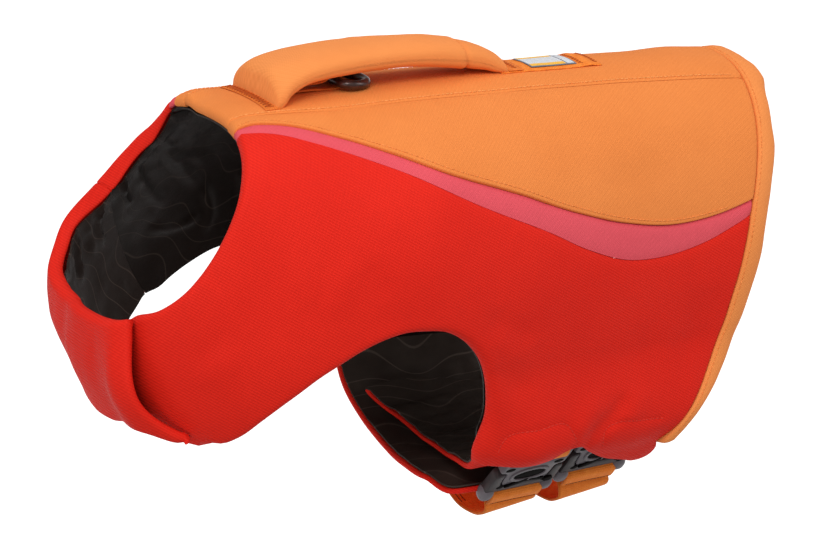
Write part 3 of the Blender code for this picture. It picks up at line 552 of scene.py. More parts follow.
class Thread:
    """Collects stitches of one colour on one body into one mesh."""

    def __init__(self, name, mat, slot, body="jacket"):
        self.name, self.mat, self.slot, self.body = name, mat, slot, body
        self.verts, self.faces = [], []

    def add(self, pairs, normals, radius):
        v, f = capsules(pairs, normals, radius)
        o = len(self.verts)
        self.verts += v
        self.faces += [[i + o for i in q] for q in f]

    def row(self, points, normals, pitch=3.0, share=0.72, radius=0.3, sink=0.05):
        """A row of stitches along a line of points."""
        p, n = np.asarray(points, float), np.asarray(normals, float)
        s = np.concatenate([[0], np.cumsum(np.linalg.norm(np.diff(p, axis=0), axis=1))])
        count = int(s[-1] / pitch)
        if count < 1:
            return
        a = (np.arange(count) + 0.5 * (1 - share)) * pitch
        b = a + share * pitch
        P = lambda x: np.column_stack([np.interp(x, s, c) for c in p.T])
        N = np.column_stack([np.interp((a + b) / 2, s, c) for c in n.T])
        N /= np.linalg.norm(N, axis=1, keepdims=True)
        h = N * (radius * 0.3 - sink)
        self.add(np.stack([P(a) + h, P(b) + h], 1), N, radius)

    def zigzag(self, points, normals, sides, pitch=1.3, radius=0.26):
        """Bar-tack: close zigzag between two lines; points is the middle, sides the half width vectors."""
        p, n, w = (np.asarray(x, float) for x in (points, normals, sides))
        s = np.concatenate([[0], np.cumsum(np.linalg.norm(np.diff(p, axis=0), axis=1))])
        k = max(2, int(s[-1] / pitch))
        a = np.linspace(0, s[-1], k + 1)
        at = lambda arr: np.column_stack([np.interp(a, s, c) for c in arr.T])
        P, N, W = at(p), at(n), at(w)
        N /= np.linalg.norm(N, axis=1, keepdims=True)
        sign = np.where(np.arange(k + 1) % 2 == 0, 1.0, -1.0)[:, None]
        Q = P + W * sign + N * radius * 0.5
        self.add(np.stack([Q[:-1], Q[1:]], 1), N[:-1], radius)

    def done(self):
        if not self.verts:
            return None
        ob = to_object(self.name, np.array(self.verts), self.faces, self.mat, angle=180)
        return place(ob, self.body, self.slot, kind=None)


def on_skin(tree, u, r, start=45.0):
    """Points and normals of a piece over (u, r)."""
    P, N = surf(u, r, start), normal(u, r)
    pts, nrm = [], []
    for p, n in zip(P, N):
        hit = tree.ray_cast(Vector(p * SCALE), Vector(-n), 0.09)
        if hit[0] is None:
            continue
        pts.append(np.array(hit[0]) / SCALE)
        k = np.array(hit[1])
        nrm.append(k if k @ n > 0 else -k)
    return np.array(pts), np.array(nrm)


# ---------------------------------------------------------------- materials
def srgb(r, g, b):
    return tuple(((c / 255.0 + 0.055) / 1.055) ** 2.4 if c > 10 else c / 255.0 / 12.92 for c in (r, g, b)) + (1.0,)


class Shader:
    """A Principled material built from procedural nodes over the cloth's own millimetres."""

    def __init__(self, name, rough=0.7, sheen=0.0, sheen_rough=0.4, metallic=0.0, specular=0.4, coat=0.0):
        self.m = bpy.data.materials.new(name)
        self.m.use_nodes = True
        self.t = self.m.node_tree
        self.b = self.t.nodes["Principled BSDF"]
        for k, v in (("Roughness", rough), ("Sheen Weight", sheen), ("Sheen Roughness", sheen_rough), ("Metallic", metallic),
                     ("Specular IOR Level", specular), ("Coat Weight", coat)):
            self.b.inputs[k].default_value = v

    def node(self, kind, **props):
        n = self.t.nodes.new(kind)
        for k, v in props.items():
            setattr(n, k, v)
        return n

    def put(self, value, socket):
        if isinstance(value, (int, float)):
            socket.default_value = value
        elif isinstance(value, tuple):
            socket.default_value = value
        else:
            self.t.links.new(value, socket)

    def math(self, op, a, b=None, c=None, clamp=False):
        n = self.node("ShaderNodeMath", operation=op, use_clamp=clamp)
        for v, s in zip((a, b, c), n.inputs):
            if v is not None:
                self.put(v, s)
        return n.outputs[0]

    def uv(self):
        n = self.node("ShaderNodeUVMap", uv_map="cloth")
        s = self.node("ShaderNodeSeparateXYZ")
        self.t.links.new(n.outputs[0], s.inputs[0])
        self.vec = n.outputs[0]
        return s.outputs[0], s.outputs[1]

    def here(self):
        n = self.node("ShaderNodeTexCoord")
        self.vec = n.outputs["Object"]
        return self.vec

    def noise(self, scale, detail=2.0, rough=0.5, vector=None):
        n = self.node("ShaderNodeTexNoise")
        n.inputs["Scale"].default_value = scale
        n.inputs["Detail"].default_value = detail
        n.inputs["Roughness"].default_value = rough
        self.t.links.new(vector if vector is not None else self.vec, n.inputs["Vector"])
        return n.outputs[0]

    def sine(self, x, period, phase=0.0):
        return self.math("SINE", self.math("MULTIPLY_ADD", x, 2 * math.pi / period, phase))

    def mix(self, f, a, b, blend="MIX"):
        n = self.node("ShaderNodeMix", data_type="RGBA", blend_type=blend)
        self.put(f, n.inputs[0])
        self.put(a, n.inputs[6])
        self.put(b, n.inputs[7])
        return n.outputs[2]

    def ramp(self, x, a, b):
        n = self.node("ShaderNodeMapRange", interpolation_type="SMOOTHSTEP")
        self.put(x, n.inputs[0])
        n.inputs[1].default_value, n.inputs[2].default_value = a, b
        return n.outputs[0]

    def colour(self, c):
        self.put(c, self.b.inputs["Base Color"])

    def rough(self, x):
        self.put(x, self.b.inputs["Roughness"])

    def bump(self, height, distance, strength=1.0, before=None):
        n = self.node("ShaderNodeBump")
        n.inputs["Strength"].default_value = strength
        n.inputs["Distance"].default_value = distance
        self.t.links.new(height, n.inputs["Height"])
        if before is not None:
            self.t.links.new(before, n.inputs["Normal"])
        self.t.links.new(n.outputs[0], self.b.inputs["Normal"])
        return n.outputs[0]


def woven(name, light, dark, twill=None, weave=None, depth=0.00012, rough=0.72, sheen=0.0, soft=0.0002, specular=0.34):
    """Cloth: tone that wanders a little, a weave or twill in relief, and the slight unevenness of cloth over foam."""
    s = Shader(name, rough=rough, sheen=sheen, sheen_rough=0.45, specular=specular)
    x, y = s.uv()
    wide = s.noise(0.016, 2.0)
    mid = s.noise(0.12, 3.0)
    if twill:
        o = s.node("ShaderNodeSeparateXYZ")
        s.t.links.new(s.here(), o.inputs[0])
        d = s.math("MULTIPLY", s.math("MULTIPLY_ADD", o.outputs[0], 0.646, o.outputs[2]), 840.0)
        h = s.sine(d, twill)
        pick = s.sine(s.math("MULTIPLY", s.math("MULTIPLY_ADD", o.outputs[0], -1.5, o.outputs[2]), 560.0), twill * 1.3)
        h = s.math("MULTIPLY_ADD", pick, 0.3, h)
    else:
        h = s.math("MULTIPLY", s.sine(x, weave), s.sine(y, weave))
        h = s.math("MULTIPLY_ADD", s.sine(s.math("ADD", x, y), weave * 2.3), 0.3, h)
    f = s.math("MULTIPLY_ADD", h, 0.2, s.math("MULTIPLY_ADD", wide, 0.55, s.math("MULTIPLY", mid, 0.25)))
    f = s.ramp(f, 0.1, 0.85)
    s.colour(s.mix(f, dark, light))
    n1 = s.bump(mid, soft, 0.5)
    s.bump(h, depth, 0.8, n1)
    s.rough(s.math("MULTIPLY_ADD", mid, 0.16, rough - 0.08))
    return s.m


def lining_cloth(name, lo=srgb(18, 12, 10), hi=srgb(28, 20, 17), wave=srgb(60, 50, 44)):
    """Black satin lining with faint wavy stripes, tone on tone."""
    s = Shader(name, rough=0.44, specular=0.16)
    s.b.inputs["Specular Tint"].default_value = srgb(238, 216, 204)
    x, y = s.uv()
    wav = s.math("MULTIPLY", s.sine(x, 83.0, 0.6), 7.0)
    wav = s.math("ADD", wav, s.math("MULTIPLY", s.sine(x, 37.0, 2.0), 3.0))
    wav = s.math("ADD", wav, s.math("MULTIPLY", s.sine(y, 61.0, 1.0), 5.0))
    line = s.math("ABSOLUTE", s.math("SUBTRACT", s.math("FRACT", s.math("DIVIDE", s.math("ADD", y, wav), 15.0)), 0.5))
    mask = s.math("SUBTRACT", 1.0, s.ramp(line, 0.012, 0.045))
    mid = s.noise(0.09, 3.0)
    fine = s.noise(0.5, 2.0)
    dark = s.mix(mid, lo, hi)
    s.colour(s.mix(s.math("MULTIPLY", mask, 0.6), dark, wave))
    h = s.math("MULTIPLY_ADD", fine, 0.25, mid)
    n1 = s.bump(h, 0.0005, 0.6)
    weave = s.math("MULTIPLY", s.sine(x, 0.9), s.sine(y, 0.9))
    s.bump(weave, 0.00005, 0.5, n1)
    s.rough(s.math("MULTIPLY_ADD", fine, 0.12, 0.38))
    return s.m


def webbing_cloth(name, light, dark, half=19.0):
    """Flat woven webbing: ribs across, warp lines along, darker selvedges."""
    s = Shader(name, rough=0.7, specular=0.2)
    x, y = s.uv()
    rib = s.sine(x, 1.25)
    warp = s.sine(y, 1.9)
    chev = s.sine(s.math("ADD", x, s.math("MULTIPLY", s.math("ABSOLUTE", s.math("SUBTRACT", s.math("MODULO", s.math("ADD", y, 60.0), 6.4), 3.2)), 1.0)), 1.9)
    h = s.math("MULTIPLY_ADD", warp, 0.35, s.math("MULTIPLY_ADD", chev, 0.5, s.math("MULTIPLY", rib, 0.5)))
    mid = s.noise(0.2, 3.0)
    edge = s.ramp(s.math("ABSOLUTE", y), half - 1.6, half - 0.2)
    f = s.math("MULTIPLY_ADD", h, 0.12, s.math("MULTIPLY", mid, 1.0))
    c = s.mix(s.ramp(f, 0.2, 0.9), dark, light)
    s.colour(s.mix(s.math("MULTIPLY", edge, 0.55), c, srgb(176, 84, 24)))
    s.bump(h, 0.00016, 0.8)
    return s.m


def moulded(name, light, dark, rough=0.42, specular=0.26):
    s = Shader(name, rough=rough, specular=specular)
    s.here()
    grain = s.noise(2600.0, 2.0)
    wide = s.noise(70.0, 3.0)
    s.colour(s.mix(s.ramp(wide, 0.3, 0.7), dark, light))
    s.bump(grain, 0.00004, 0.5)
    s.rough(s.math("MULTIPLY_ADD", wide, 0.22, rough - 0.1))
    return s.m


def coated_metal(name):
    s = Shader(name, rough=0.32, metallic=0.55, specular=0.5, coat=0.25)
    s.here()
    wide = s.noise(160.0, 4.0)
    s.colour(s.mix(s.ramp(wide, 0.35, 0.75), srgb(52, 36, 34), srgb(78, 58, 54)))
    s.bump(s.noise(1500.0, 2.0), 0.00003, 0.4)
    s.rough(s.math("MULTIPLY_ADD", wide, 0.2, 0.24))
    return s.m


def thread(name, light, dark):
    s = Shader(name, rough=0.7, specular=0.2)
    s.here()
    f = s.noise(900.0, 2.0)
    s.colour(s.mix(s.ramp(f, 0.3, 0.7), dark, light))
    s.bump(f, 0.00008, 0.6)
    return s.m


def label_cloth(name):
    """Plain woven label: pale ground, thin slate border, a yellow band along each long side, a pale band at one end."""
    s = Shader(name, rough=0.6, sheen=0.1, specular=0.3)
    x, y = s.uv()
    bx = s.math("ABSOLUTE", s.math("SUBTRACT", x, 16.5))
    by = s.math("ABSOLUTE", y)
    border = s.math("MAXIMUM", s.ramp(bx, 15.3, 15.6), s.ramp(by, 9.3, 9.6))
    band = s.math("SUBTRACT", 1.0, s.ramp(s.math("ABSOLUTE", s.math("SUBTRACT", x, 26.4)), 0.35, 0.6))
    border = s.math("MAXIMUM", border, band)
    side = s.math("MULTIPLY", s.ramp(by, 5.6, 6.0), s.math("SUBTRACT", 1.0, s.ramp(x, 25.6, 25.9)))
    w = s.math("MULTIPLY", s.sine(x, 0.8), s.sine(y, 0.6))
    ground = s.mix(s.ramp(w, -1.0, 1.0), srgb(205, 208, 214), srgb(226, 228, 232))
    c = s.mix(side, ground, srgb(250, 190, 62))
    s.colour(s.mix(border, c, srgb(112, 116, 128)))
    s.bump(w, 0.00006, 0.7)
    return s.m


ORANGE = woven("orange_padded_cloth", srgb(241, 142, 71), srgb(229, 129, 59), weave=1.5, depth=0.00008, rough=0.85, specular=0.28)
ORANGE_PALE = woven("orange_bound_cloth", srgb(246, 151, 81), srgb(234, 138, 69), weave=1.5, depth=0.00006, rough=0.85, specular=0.28)
RED = woven("red_twill", srgb(233, 41, 25), srgb(216, 31, 17), twill=1.6, depth=0.00009, rough=0.70, soft=0.0001, specular=0.13)
PINK = woven("pink_cloth_weave", srgb(232, 87, 98), srgb(220, 76, 88), weave=1.5, depth=0.00008, rough=0.85)
LINING = lining_cloth("black_lining_waves")
# Lighter copy of the same black lining for the chest flap: painted light.
LINING_CHEST_PAINTED_LIGHT = lining_cloth("chest_lining_waves_painted_light", srgb(28, 20, 17), srgb(43, 33, 29), srgb(80, 66, 58))
# Lighter copy of the black lining for the belly flaps: painted light, standing in for light in their shaded undersides.
LINING_BELLY_PAINTED_LIGHT = lining_cloth("belly_lining_waves_painted_light", srgb(50, 41, 37), srgb(70, 60, 54), srgb(104, 91, 83))
WEBBING = webbing_cloth("orange_webbing_ribs", srgb(253, 148, 58), srgb(239, 126, 42))
NARROW = webbing_cloth("orange_narrow_webbing", srgb(238, 132, 56), srgb(216, 108, 38), half=40.0)
PLASTIC = moulded("grey_buckle_plastic", srgb(104, 98, 103), srgb(86, 80, 85))
# Lighter copy of the buckle plastic for the bar ends: painted light on the parts that stand out into the light.
PLASTIC_PAINTED_LIGHT = moulded("buckle_plastic_painted_light", srgb(112, 106, 111), srgb(96, 90, 95))
# Darker copy of the buckle plastic for the plug: painted shade, as it sits in the hem's shadow.
PLASTIC_PAINTED_SHADE = moulded("buckle_plastic_painted_shade", srgb(62, 56, 57), srgb(46, 40, 41), specular=0.18)
# Near-black and matt: painted shade for the buckle's hollows and gaps.
RECESS_PAINTED_SHADE = moulded("buckle_recess_painted_shade", srgb(14, 9, 8), srgb(8, 5, 4), rough=0.7, specular=0.04)
METAL = coated_metal("ring_coating")
LABEL = label_cloth("label_weave")
THREAD_ORANGE = thread("thread_orange", srgb(250, 166, 96), srgb(228, 134, 64))
THREAD_DEEP = thread("thread_deep_orange", srgb(196, 92, 30), srgb(160, 70, 20))
THREAD_MID = thread("thread_mid_orange", srgb(246, 152, 82), srgb(222, 122, 56))
THREAD_RED = thread("thread_red", srgb(228, 66, 52), srgb(196, 40, 30))
THREAD_BROWN = thread("thread_brown", srgb(132, 66, 26), srgb(98, 44, 18))


# ---------------------------------------------------------------- cloth
def rear(r):
    return float(curve(REAR_SEAM, [abs(r)])[0, 0])


def rear_edge(r0, r1, n=5):
    return [(rear(t), t) for t in np.linspace(r0, r1, n)]


def cut(table, u_end):
    rows = [p for p in table if p[0] < u_end - 0.02]
    return rows + [(u_end, float(curve(table, [u_end])[0, 0]))]


def meet(table):
    u = 0.98
    for _ in range(6):
        u = rear(float(curve(table, [u])[0, 0]))
    return u, float(curve(table, [u])[0, 0])


def mm(u, r):
    return np.asarray(u) * U_MM, np.asarray(r) * R_MM


def undulate(amount, cell, seed):
    def f(u, r):
        x, y = mm(u, r)
        return amount * (0.7 * noise(x, y, cell, seed) + 0.3 * noise(x, y, cell * 0.42, seed + 1))
    return f


us, rs = meet(SPINE_SEAM)
ut, rt = meet(STRIPE_TOP)
ul, rl = meet(STRIPE_LOW)
seam, top_line, low_line = cut(SPINE_SEAM, us), cut(STRIPE_TOP, ut), cut(STRIPE_LOW, ul)
mirror = lambda rows: [(u, -r) for u, r in rows]

SPINE_EDGES = [(seam, "quiet"), (rear_edge(rs, -rs), "trim"), (mirror(seam)[::-1], "quiet"), ([(0, -seam[0][1]), (0, seam[0][1])], "neck")]
BACK_EDGES = [(top_line, "lap"), (rear_edge(rt, rs), "trim"), (seam[::-1], "quiet"), ([(0, seam[0][1]), (0, top_line[0][1])], "neck")]
STRIPE_EDGES = [(low_line, "soft_seam"), (rear_edge(rl, rt, 3), "trim"), (top_line[::-1], "under"), ([(0, top_line[0][1]), (0, low_line[0][1])], "neck")]
LEFT_EDGES = [(low_line, "soft_seam"), (rear_edge(rl, 0.755, 9), "trim"), (HEM_LEFT, "thin"), (ARCH, "rim"), (ARM_END, "soft"),
              ([(0.034, 0.925), (0.028, 0.876), (0.010, 0.832), (0.000, 0.796), (0.004, 0.700), (0.013, 0.600), (0.018, 0.500), (0.012, 0.400), (0.002, 0.300), (0, low_line[0][1])], "neck")]
CHEST_CUT = [(u + 0.020 * float(smooth(r, 0.62, 0.71)) * (u > 0.5), r + 0.016 * float(bump(u, 0.27, 0.31, 0.40, 0.47))) for u, r in ARCH if r < 0.615 or u > 0.4] + [(0.290, 0.616)]
RIGHT_EDGES = [(low_line, "soft_seam"), (rear_edge(rl, 0.755, 9), "trim"), (HEM_RIGHT, "thin"), (CHEST_CUT, "rim"), (CHEST_SEAM[::-1], "seam"),
               ([(0, 0.500), (0, low_line[0][1])], "neck")]
FLAP_EDGES = [(FLAP_END, "free"), (FLAP_LOW, "rim"), ([(u, 2 - r) for u, r in CHEST_SEAM[::-1]], "seam"), ([(0, 1.5), (0, 0.772)], "neck")]
INNER_EDGES = [(BELLY_INNER[:7], "thin"), (BELLY_INNER[6:11], "faced"), (BELLY_INNER[10:], "thin"), ([BELLY_INNER[-1], BELLY_INNER[0]], "thin")]
OUTER_EDGES = [(BELLY_OUTER, "thin"), ([BELLY_OUTER[-1], BELLY_OUTER[0]], "faced")]
LINING_BACK_EDGES = [(low_line, "lseam"), (rear_edge(rl, -rl, 13), "ltrim"), (mirror(low_line)[::-1], "lseam"),
                     ([(0, -low_line[0][1]), (0, low_line[0][1])], "lrim")]

# folds and soft places, (u, r) lines: half width, height, both mm
HEM_STITCH_1 = [(0.600, 0.708), (0.606, 0.680), (0.642, 0.672), (0.682, 0.672), (0.698, 0.692), (0.706, 0.706)]
HEM_STITCH_2 = [(0.758, 0.728), (0.754, 0.698), (0.776, 0.690), (0.814, 0.694), (0.862, 0.700)]
SIDE_FOLDS = [
    crease([(0.236, 0.36), (0.240, 0.42), (0.248, 0.462), (0.252, 0.530)], 9.0, -0.9),
    crease([(0.262, 0.37), (0.268, 0.43), (0.276, 0.50)], 10.0, 0.7),
    crease([(0.300, 0.38), (0.330, 0.422), (0.366, 0.450)], 8.0, -0.8),
    crease([(0.520, 0.462), (0.562, 0.490), (0.625, 0.532)], 6.5, -1.0, 0.3),
    crease([(0.530, 0.500), (0.570, 0.520), (0.620, 0.555)], 7.0, 0.7, 0.3),
    crease([(0.548, 0.556), (0.586, 0.582), (0.634, 0.620)], 6.0, -0.9, 0.3),
    crease([(0.555, 0.610), (0.590, 0.628), (0.622, 0.650)], 6.0, 0.6, 0.3),
    crease([(0.138, 0.72), (0.154, 0.66), (0.164, 0.590)], 9.0, 1.0),
    crease([(0.105, 0.70), (0.120, 0.64), (0.126, 0.580)], 8.0, -0.8),
    crease([(0.782, 0.640), (0.774, 0.668), (0.746, 0.690), (0.716, 0.716)], 5.0, -2.4, 0.25),
    crease([(0.740, 0.640), (0.722, 0.662), (0.706, 0.684), (0.700, 0.704)], 6.0, 1.6, 0.3),
    crease([(0.812, 0.640), (0.800, 0.672), (0.786, 0.700)], 8.0, 1.2, 0.3),
    crease([(0.880, 0.480), (0.905, 0.560), (0.890, 0.650)], 12.0, -0.9),
    crease([(0.850, 0.500), (0.868, 0.580), (0.852, 0.660)], 12.0, 0.7),
    crease([(0.010, 0.300), (0.050, 0.330), (0.110, 0.340)], 7.0, -0.6),
    crease([(0.008, 0.520), (0.040, 0.540), (0.090, 0.545)], 6.0, -0.8),
    crease([(0.006, 0.600), (0.030, 0.622), (0.070, 0.640)], 5.0, 0.7),
    crease([(0.350, 0.535), (0.380, 0.500), (0.400, 0.470)], 7.0, 0.6),
]
side_detail = total(undulate(0.45, 62.0, 5), *SIDE_FOLDS)
right_detail = total(undulate(0.5, 58.0, 15), crease([(0.24, 0.36), (0.25, 0.44), (0.27, 0.53)], 9.0, -0.9),
                     crease([(0.52, 0.47), (0.57, 0.50), (0.63, 0.55)], 7.0, -1.0, 0.3), crease([(0.55, 0.57), (0.60, 0.60), (0.65, 0.66)], 7.0, 0.8, 0.3),
                     crease([(0.88, 0.46), (0.91, 0.56), (0.89, 0.66)], 12.0, -1.0), crease([(0.70, 0.60), (0.73, 0.68), (0.72, 0.75)], 8.0, -1.3, 0.3),
                     crease([(0.01, 0.34), (0.06, 0.36), (0.12, 0.35)], 7.0, -0.7))
orange_detail = total(undulate(0.4, 70.0, 25), crease([(0.70, 0.285), (0.788, 0.268), (0.87, 0.262)], 11.0, -0.8),
                      crease([(0.68, 0.245), (0.77, 0.235), (0.85, 0.232)], 12.0, 0.5), crease([(0.90, 0.14), (0.91, 0.22), (0.92, 0.30)], 9.0, -0.5))


def stripe_pucker(u, r):
    x, y = mm(u, r)
    return 0.30 * noise(x, y * 0.3, 11.0, 41) * smooth(u, 0.45, 0.65) + 0.25 * noise(x, y, 34.0, 42)


def thin_neck(u, amount, reach=0.13):
    return -amount * (1 - smooth(u, 0.0, reach))


def low_at(u, r):
    return np.full(np.shape(u), 1.35)


def far_neck(u, r):
    """The far rim is thin at the shoulder and full towards the chest."""
    return -(3.6 - 3.2 * smooth(np.abs(r), 0.36, 0.50)) * (1 - smooth(u, 0.0, 0.16))


def far_rim(u, r):
    """The far rim is filled out towards the inside, most beside the chest seam."""
    a = np.where(r > 1, 2 - r, r)
    return -4.2 * bump(a, 0.20, 0.32, 0.53, 0.66) * (1 - smooth(u, 0.016, 0.075))


def left_low(u, r):
    return 1.35 + hem_flare(u, r)


def left_high(u, r):
    h = (10.0 + hem_flare(u, r) - 4.2 * smooth(r, 0.70, 0.76) * smooth(u, 0.50, 0.58)
         - 2.2 * smooth(r, 0.74, 0.80) * (1 - smooth(u, 0.30, 0.42)))
    groove = sum(crease(ln, 1.6, -0.7, 0.02)(u, r) for ln in (HEM_STITCH_1, HEM_STITCH_2))
    bulge = 1.6 * np.exp(-(((u - 0.655) / 0.05) ** 2 + ((r - 0.705) / 0.03) ** 2)) + 1.3 * np.exp(-(((u - 0.82) / 0.05) ** 2 + ((r - 0.735) / 0.03) ** 2))
    return h + side_detail(u, r) * smooth(r, 0.20, 0.26) + groove + bulge + thin_neck(u, 0.8, 0.06)


def right_high(u, r):
    return (10.0 - 4.2 * smooth(r, 0.70, 0.76) * smooth(u, 0.50, 0.58) + right_detail(u, r) * smooth(r, 0.20, 0.26)
            + far_neck(u, r))


def flap_extra(u, r):
    """The flap's free end stands away from the side at mid height."""
    return 11.0 * np.exp(-((u - 0.108) / 0.066) ** 2) * (1 - smooth(r, 0.785, 0.89))


flap_detail = total(undulate(0.5, 50.0, 55), crease(FLAP_END, 9.0, -4.2, 0.01), crease([(0.02, 0.86), (0.06, 0.90), (0.12, 0.92)], 7.0, -0.8), crease([(0.01, 1.02), (0.05, 1.04), (0.11, 1.03)], 8.0, 0.7),
                    crease([(0.02, 1.20), (0.07, 1.22), (0.14, 1.25)], 8.0, -0.8), crease([(0.03, 0.81), (0.08, 0.83), (0.13, 0.85)], 5.0, 0.6),
                    crease([(0.12, 1.10), (0.15, 1.16), (0.17, 1.24)], 7.0, 0.7))


def flap_low(u, r):
    return 1.35 + arm_lift(u, r) + flap_extra(u, r) + far_rim(u, r)


def flap_high(u, r):
    return 10.0 + arm_lift(u, r) + flap_extra(u, r) + flap_detail(u, r) + thin_neck(u, 0.4, 0.10)


def back_high(u, r):
    return 10.1 + orange_detail(u, r) * smooth(r, 0.09, 0.13) + thin_neck(u, 1.8, 0.05) + 0.35 * smooth(r, 0.0, 0.3)


def spine_high(u, r):
    return 10.2 + undulate(0.3, 45.0, 35)(u, r) + thin_neck(u, 1.8, 0.05)


def stripe_high(u, r):
    return 9.8 + stripe_pucker(u, r) + thin_neck(u, 1.6, 0.05)


def far_back_high(u, r):
    return back_high(u, r) + thin_neck(u, 1.6, 0.12)


def far_stripe_high(u, r):
    return stripe_high(u, r) + thin_neck(u, 1.8, 0.12)


def row_line(table, offset_mm, u0=0.004, u1=0.98, n=240):
    """A line beside a seam, moved round the girth by some millimetres."""
    u = np.linspace(u0, u1, n)
    return u, curve(table, u)[:, 0] + offset_mm / R_MM


TREES = {}


def cloth_piece(name, edges, low, high, mat, slot, nodes, fill=0.75, **k):
    ob = panel(name, edges, low, high, mat, **k)
    place(ob, "jacket", slot, nodes, "padded", fill)
    TREES[name] = tree_of(ob)
    return ob


def inner_thick(u, r):
    return 2.3 - 1.3 * smooth(r, 0.84, 0.98)


def outer_thick(u, r):
    return 2.4 - 1.3 * (1 - smooth(r, 0.92, 1.02))


cloth_piece("spine_panel", SPINE_EDGES, low_at, spine_high, ORANGE, "orange_cloth", ["back_spine"])
cloth_piece("back_panel_left", BACK_EDGES, low_at, back_high, ORANGE, "orange_cloth", ["back_left"], tuck=1.1)
cloth_piece("back_panel_right", BACK_EDGES, low_at, far_back_high, ORANGE, "orange_cloth", ["back_right"], side=-1, tuck=1.1)
cloth_piece("stripe_band_left", STRIPE_EDGES, low_at, stripe_high, PINK, "pink_cloth", ["stripe_left"])
cloth_piece("stripe_band_right", STRIPE_EDGES, low_at, far_stripe_high, PINK, "pink_cloth", ["stripe_right"], side=-1)
cloth_piece("side_panel_left", LEFT_EDGES, left_low, left_high, RED, "red_cloth", ["side_left"], lines=(HEM_STITCH_1, HEM_STITCH_2), lattice=3.4, tuck=1.1)
cloth_piece("side_panel_right", RIGHT_EDGES, total(low_at, far_rim), right_high, RED, "red_cloth", ["side_right"], side=-1, tuck=1.1)
cloth_piece("chest_panel", FLAP_EDGES, flap_low, flap_high, RED, "red_cloth", ["chest_flap"], lattice=3.4, tuck=1.1)
cloth_piece("belly_panel_left", INNER_EDGES, total(inner_flap, flat(-1.2)), total(inner_flap, inner_thick, undulate(0.35, 30.0, 65)), RED, "red_cloth", ["belly_left"], tuck=0.9)
cloth_piece("belly_panel_right", OUTER_EDGES, total(outer_flap, outer_sag, flat(-1.4)), total(outer_flap, outer_sag, outer_thick, undulate(0.35, 30.0, 75)), RED, "red_cloth", ["belly_right"], tuck=0.9)


# ---------------------------------------------------------------- linings
def as_lining(edges):
    names = {"soft_seam": "lseam", "seam": "lseam", "quiet": "lseam", "trim": "lseam", "under": "lseam", "lap": "lseam", "ltrim": "lseam", "lseam": "lseam", "faced": "lface",
             "thin": "lthin", "neck": "lneck", "free": "lfree"}
    return [(e, names.get(kind, "lrim")) for e, kind in edges]


def lining_piece(name, edges, low, nodes, rests_on, lattice=4.4, inset=0.9, neck=3.4, thin=1.7, mat=None, **k):
    ob = panel(name, as_lining(edges), low, lambda u, r: low(u, r) + 1.1, mat or LINING, lattice=lattice, gap={"lrim": inset, "lneck": neck, "lthin": thin, "lface": -1.3, "lseam": 0.05, "lfree": 6.5}, **k)
    place(ob, "jacket", "black_lining", nodes, None)
    poly, _ = outline(edges, 6.0)
    x, y = poly[:, 0] * U_MM, poly[:, 1] * R_MM
    area = abs(np.sum(x * np.roll(y, -1) - np.roll(x, -1) * y)) / 2
    w, l = np.ptp(y), np.ptp(x)
    TREES[name] = tree_of(ob)
    return ob


def seam_fade(f, table):
    """The wrinkles of two linings die out where they are sewn to each other."""
    q = resample(table, 6.0) * PATTERN

    def g(u, r):
        p = np.column_stack([np.ravel(u), np.ravel(r)]) * PATTERN
        d, _ = line_distance(list(zip(q, q[1:])), p)
        return f(u, r) * smooth(d, 0.5, 11.0).reshape(np.shape(u))
    return g


def wrinkle(amount, cell, seed, near=0.0, reach=0.16):
    """Lining hangs a little inside the panel, in small waves that grow towards the neck."""
    def f(u, r):
        x, y = mm(u, r)
        a = 0.62 * noise(x * 0.75 + y * 0.2, y, cell, seed) + 0.38 * noise(x, y, cell * 0.45, seed + 1)
        k = amount * (1 + near * (1 - smooth(u, 0.0, reach)))
        return k * 0.5 * (a - 1.0) * smooth(u, -0.01, 0.02)
    return f


neck_folds = [
    crease([(0.004, 0.455), (0.06, 0.475), (0.13, 0.47)], 3.0, -3.4, 0.25), crease([(0.004, 0.490), (0.07, 0.520), (0.15, 0.53)], 3.4, 1.6, 0.25),
    crease([(0.004, 0.545), (0.06, 0.565), (0.15, 0.60)], 3.2, -3.2, 0.25), crease([(0.05, 0.40), (0.14, 0.43), (0.25, 0.45)], 4.2, -2.4, 0.25),
    crease([(0.10, 0.33), (0.20, 0.36), (0.31, 0.41)], 4.2, -2.2, 0.25), crease([(0.22, 0.50), (0.28, 0.49), (0.34, 0.455)], 3.0, -2.6, 0.25),
    crease([(0.30, 0.40), (0.345, 0.45), (0.355, 0.50)], 2.6, -2.4, 0.25), crease([(0.36, 0.36), (0.40, 0.42), (0.405, 0.47)], 2.8, -2.4, 0.25),
    crease([(0.012, 0.26), (0.07, 0.30), (0.15, 0.31)], 3.6, -1.5, 0.3), crease([(0.012, 0.40), (0.06, 0.41), (0.12, 0.44)], 3.2, -1.3, 0.3),
    crease([(0.012, 0.52), (0.05, 0.56), (0.10, 0.57)], 3.0, -1.8, 0.3), crease([(0.03, 0.47), (0.09, 0.50), (0.17, 0.50)], 4.0, -1.4, 0.3),
    crease([(0.012, 0.63), (0.05, 0.65), (0.10, 0.64)], 3.0, -1.6, 0.3), crease([(0.012, 0.72), (0.06, 0.71), (0.12, 0.74)], 3.2, -1.4, 0.3),
    crease([(0.14, 0.36), (0.22, 0.34), (0.30, 0.37)], 4.5, -1.3, 0.3), crease([(0.18, 0.46), (0.25, 0.48), (0.31, 0.46)], 4.0, -1.4, 0.3)]
